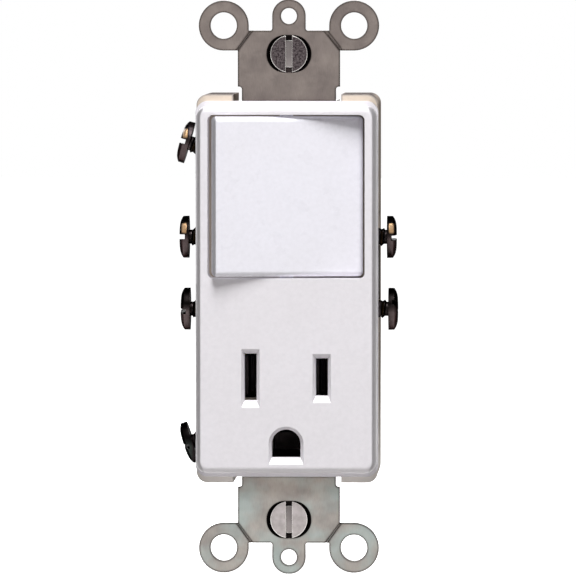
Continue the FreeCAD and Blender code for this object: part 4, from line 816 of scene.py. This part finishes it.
class RECEPTACLE_OT_mounting_screws(bpy.types.Operator):
    """Two flat-head mounting screws and the four screws that close the body"""
    bl_idname = "receptacle.mounting_screws"
    bl_label = "Mounting screws"

    def execute(self, context):
        sizes = context.scene.receptacle_screws
        dress(plated_metal("zinc-plated screw steel", "#7C7776", "#A29D98", roughness=0.3,
                           worn="#D5D1CC", lines=NO_LINES), "assembly_screws")
        tree = bpy.data.node_groups["threaded screw"]
        cone = 1.9 * MM
        for name, dark, light, speck_mm in (
                ("mounting_screw_top", "#292325", "#625A5B", 0.35),
                ("mounting_screw_bottom", "#857F7E", "#979190", 1.2)):
            low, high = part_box(name)
            height = (low.z + high.z) / 2
            finish = plated_metal(
                f"zinc-plated steel, {name.replace('_', ' ')}", "#6B6564", "#7C7675",
                roughness=0.34, worn="#E4E0DB", wear=0.8, edge_mm=0.09, lines=NO_LINES,
                marks=self.stippled(height / MM, low.y / MM, dark, light, speck_mm))
            piece = make_screw(tree, f"threaded_{name}", {
                "Head Top": (high.x - low.x) / 2, "Head Bottom": 1.5 * MM,
                "Head Height": cone, "Dome": 0.0, "Shank": 1.72 * MM,
                "Length": high.y - low.y - cone, "Pitch": sizes.pitch,
                "Thread Depth": sizes.thread_depth, "Slot Width": 1.15 * MM,
                "Slot Depth": 0.9 * MM, "Neck": 1.0 * MM,
                "Place": Vector((0, low.y + cone, height)),
                "Turn": aimed((0, -1, 0), 0), "Finish": finish}, round_mm=0.09)
            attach(piece, name)
            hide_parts(name)
        return {"FINISHED"}

    @staticmethod
    def stippled(height_mm, front_mm, dark, light, speck_mm):
        """The struck face of the head, apart from the slot's floor, is specked."""
        def marks(tree, base):
            depth = place_axes(tree, (0, front_mm, height_mm))["Y"]
            speck = between(tree, grain(tree, speck_mm, detail=5.0), *SPECK_GRAIN)
            return blend(tree, between(tree, depth, *STRUCK_FACE), base,
                         blend(tree, speck, dark, light))
        return marks


class RECEPTACLE_PT_panel(bpy.types.Panel):
    """Sizes, colours and steps of the receptacle"""
    bl_label = "Receptacle"
    bl_idname = "RECEPTACLE_PT_panel"
    bl_space_type = "VIEW_3D"
    bl_region_type = "UI"
    bl_category = "Receptacle"

    def draw(self, context):
        for group, kind in GROUPS.items():
            for name in kind.__annotations__:
                self.layout.prop(getattr(context.scene, group), name)
        for step in STEPS:
            self.layout.operator(step.bl_idname)


STEPS = (RECEPTACLE_OT_stage, RECEPTACLE_OT_mouldings, RECEPTACLE_OT_strap,
         RECEPTACLE_OT_contacts, RECEPTACLE_OT_terminal_screws, RECEPTACLE_OT_mounting_screws)
GROUPS = {"receptacle_finish": ReceptacleFinish, "receptacle_screws": ScrewSizes,
          "receptacle_studio": StudioSettings}


def register():
    for kind in (*GROUPS.values(), *STEPS, RECEPTACLE_PT_panel):
        bpy.utils.register_class(kind)
    for name, kind in GROUPS.items():
        setattr(bpy.types.Scene, name, bpy.props.PointerProperty(type=kind))


def unregister():
    for name in GROUPS:
        delattr(bpy.types.Scene, name)
    for kind in (RECEPTACLE_PT_panel, *STEPS, *reversed(list(GROUPS.values()))):
        bpy.utils.unregister_class(kind)


def main():
    register()
    bpy.ops.receptacle.stage()
    bpy.ops.receptacle.mouldings()
    bpy.ops.receptacle.strap()
    bpy.ops.receptacle.contacts()
    bpy.ops.receptacle.terminal_screws()
    bpy.ops.receptacle.mounting_screws()


if __name__ == "__main__":
    main()
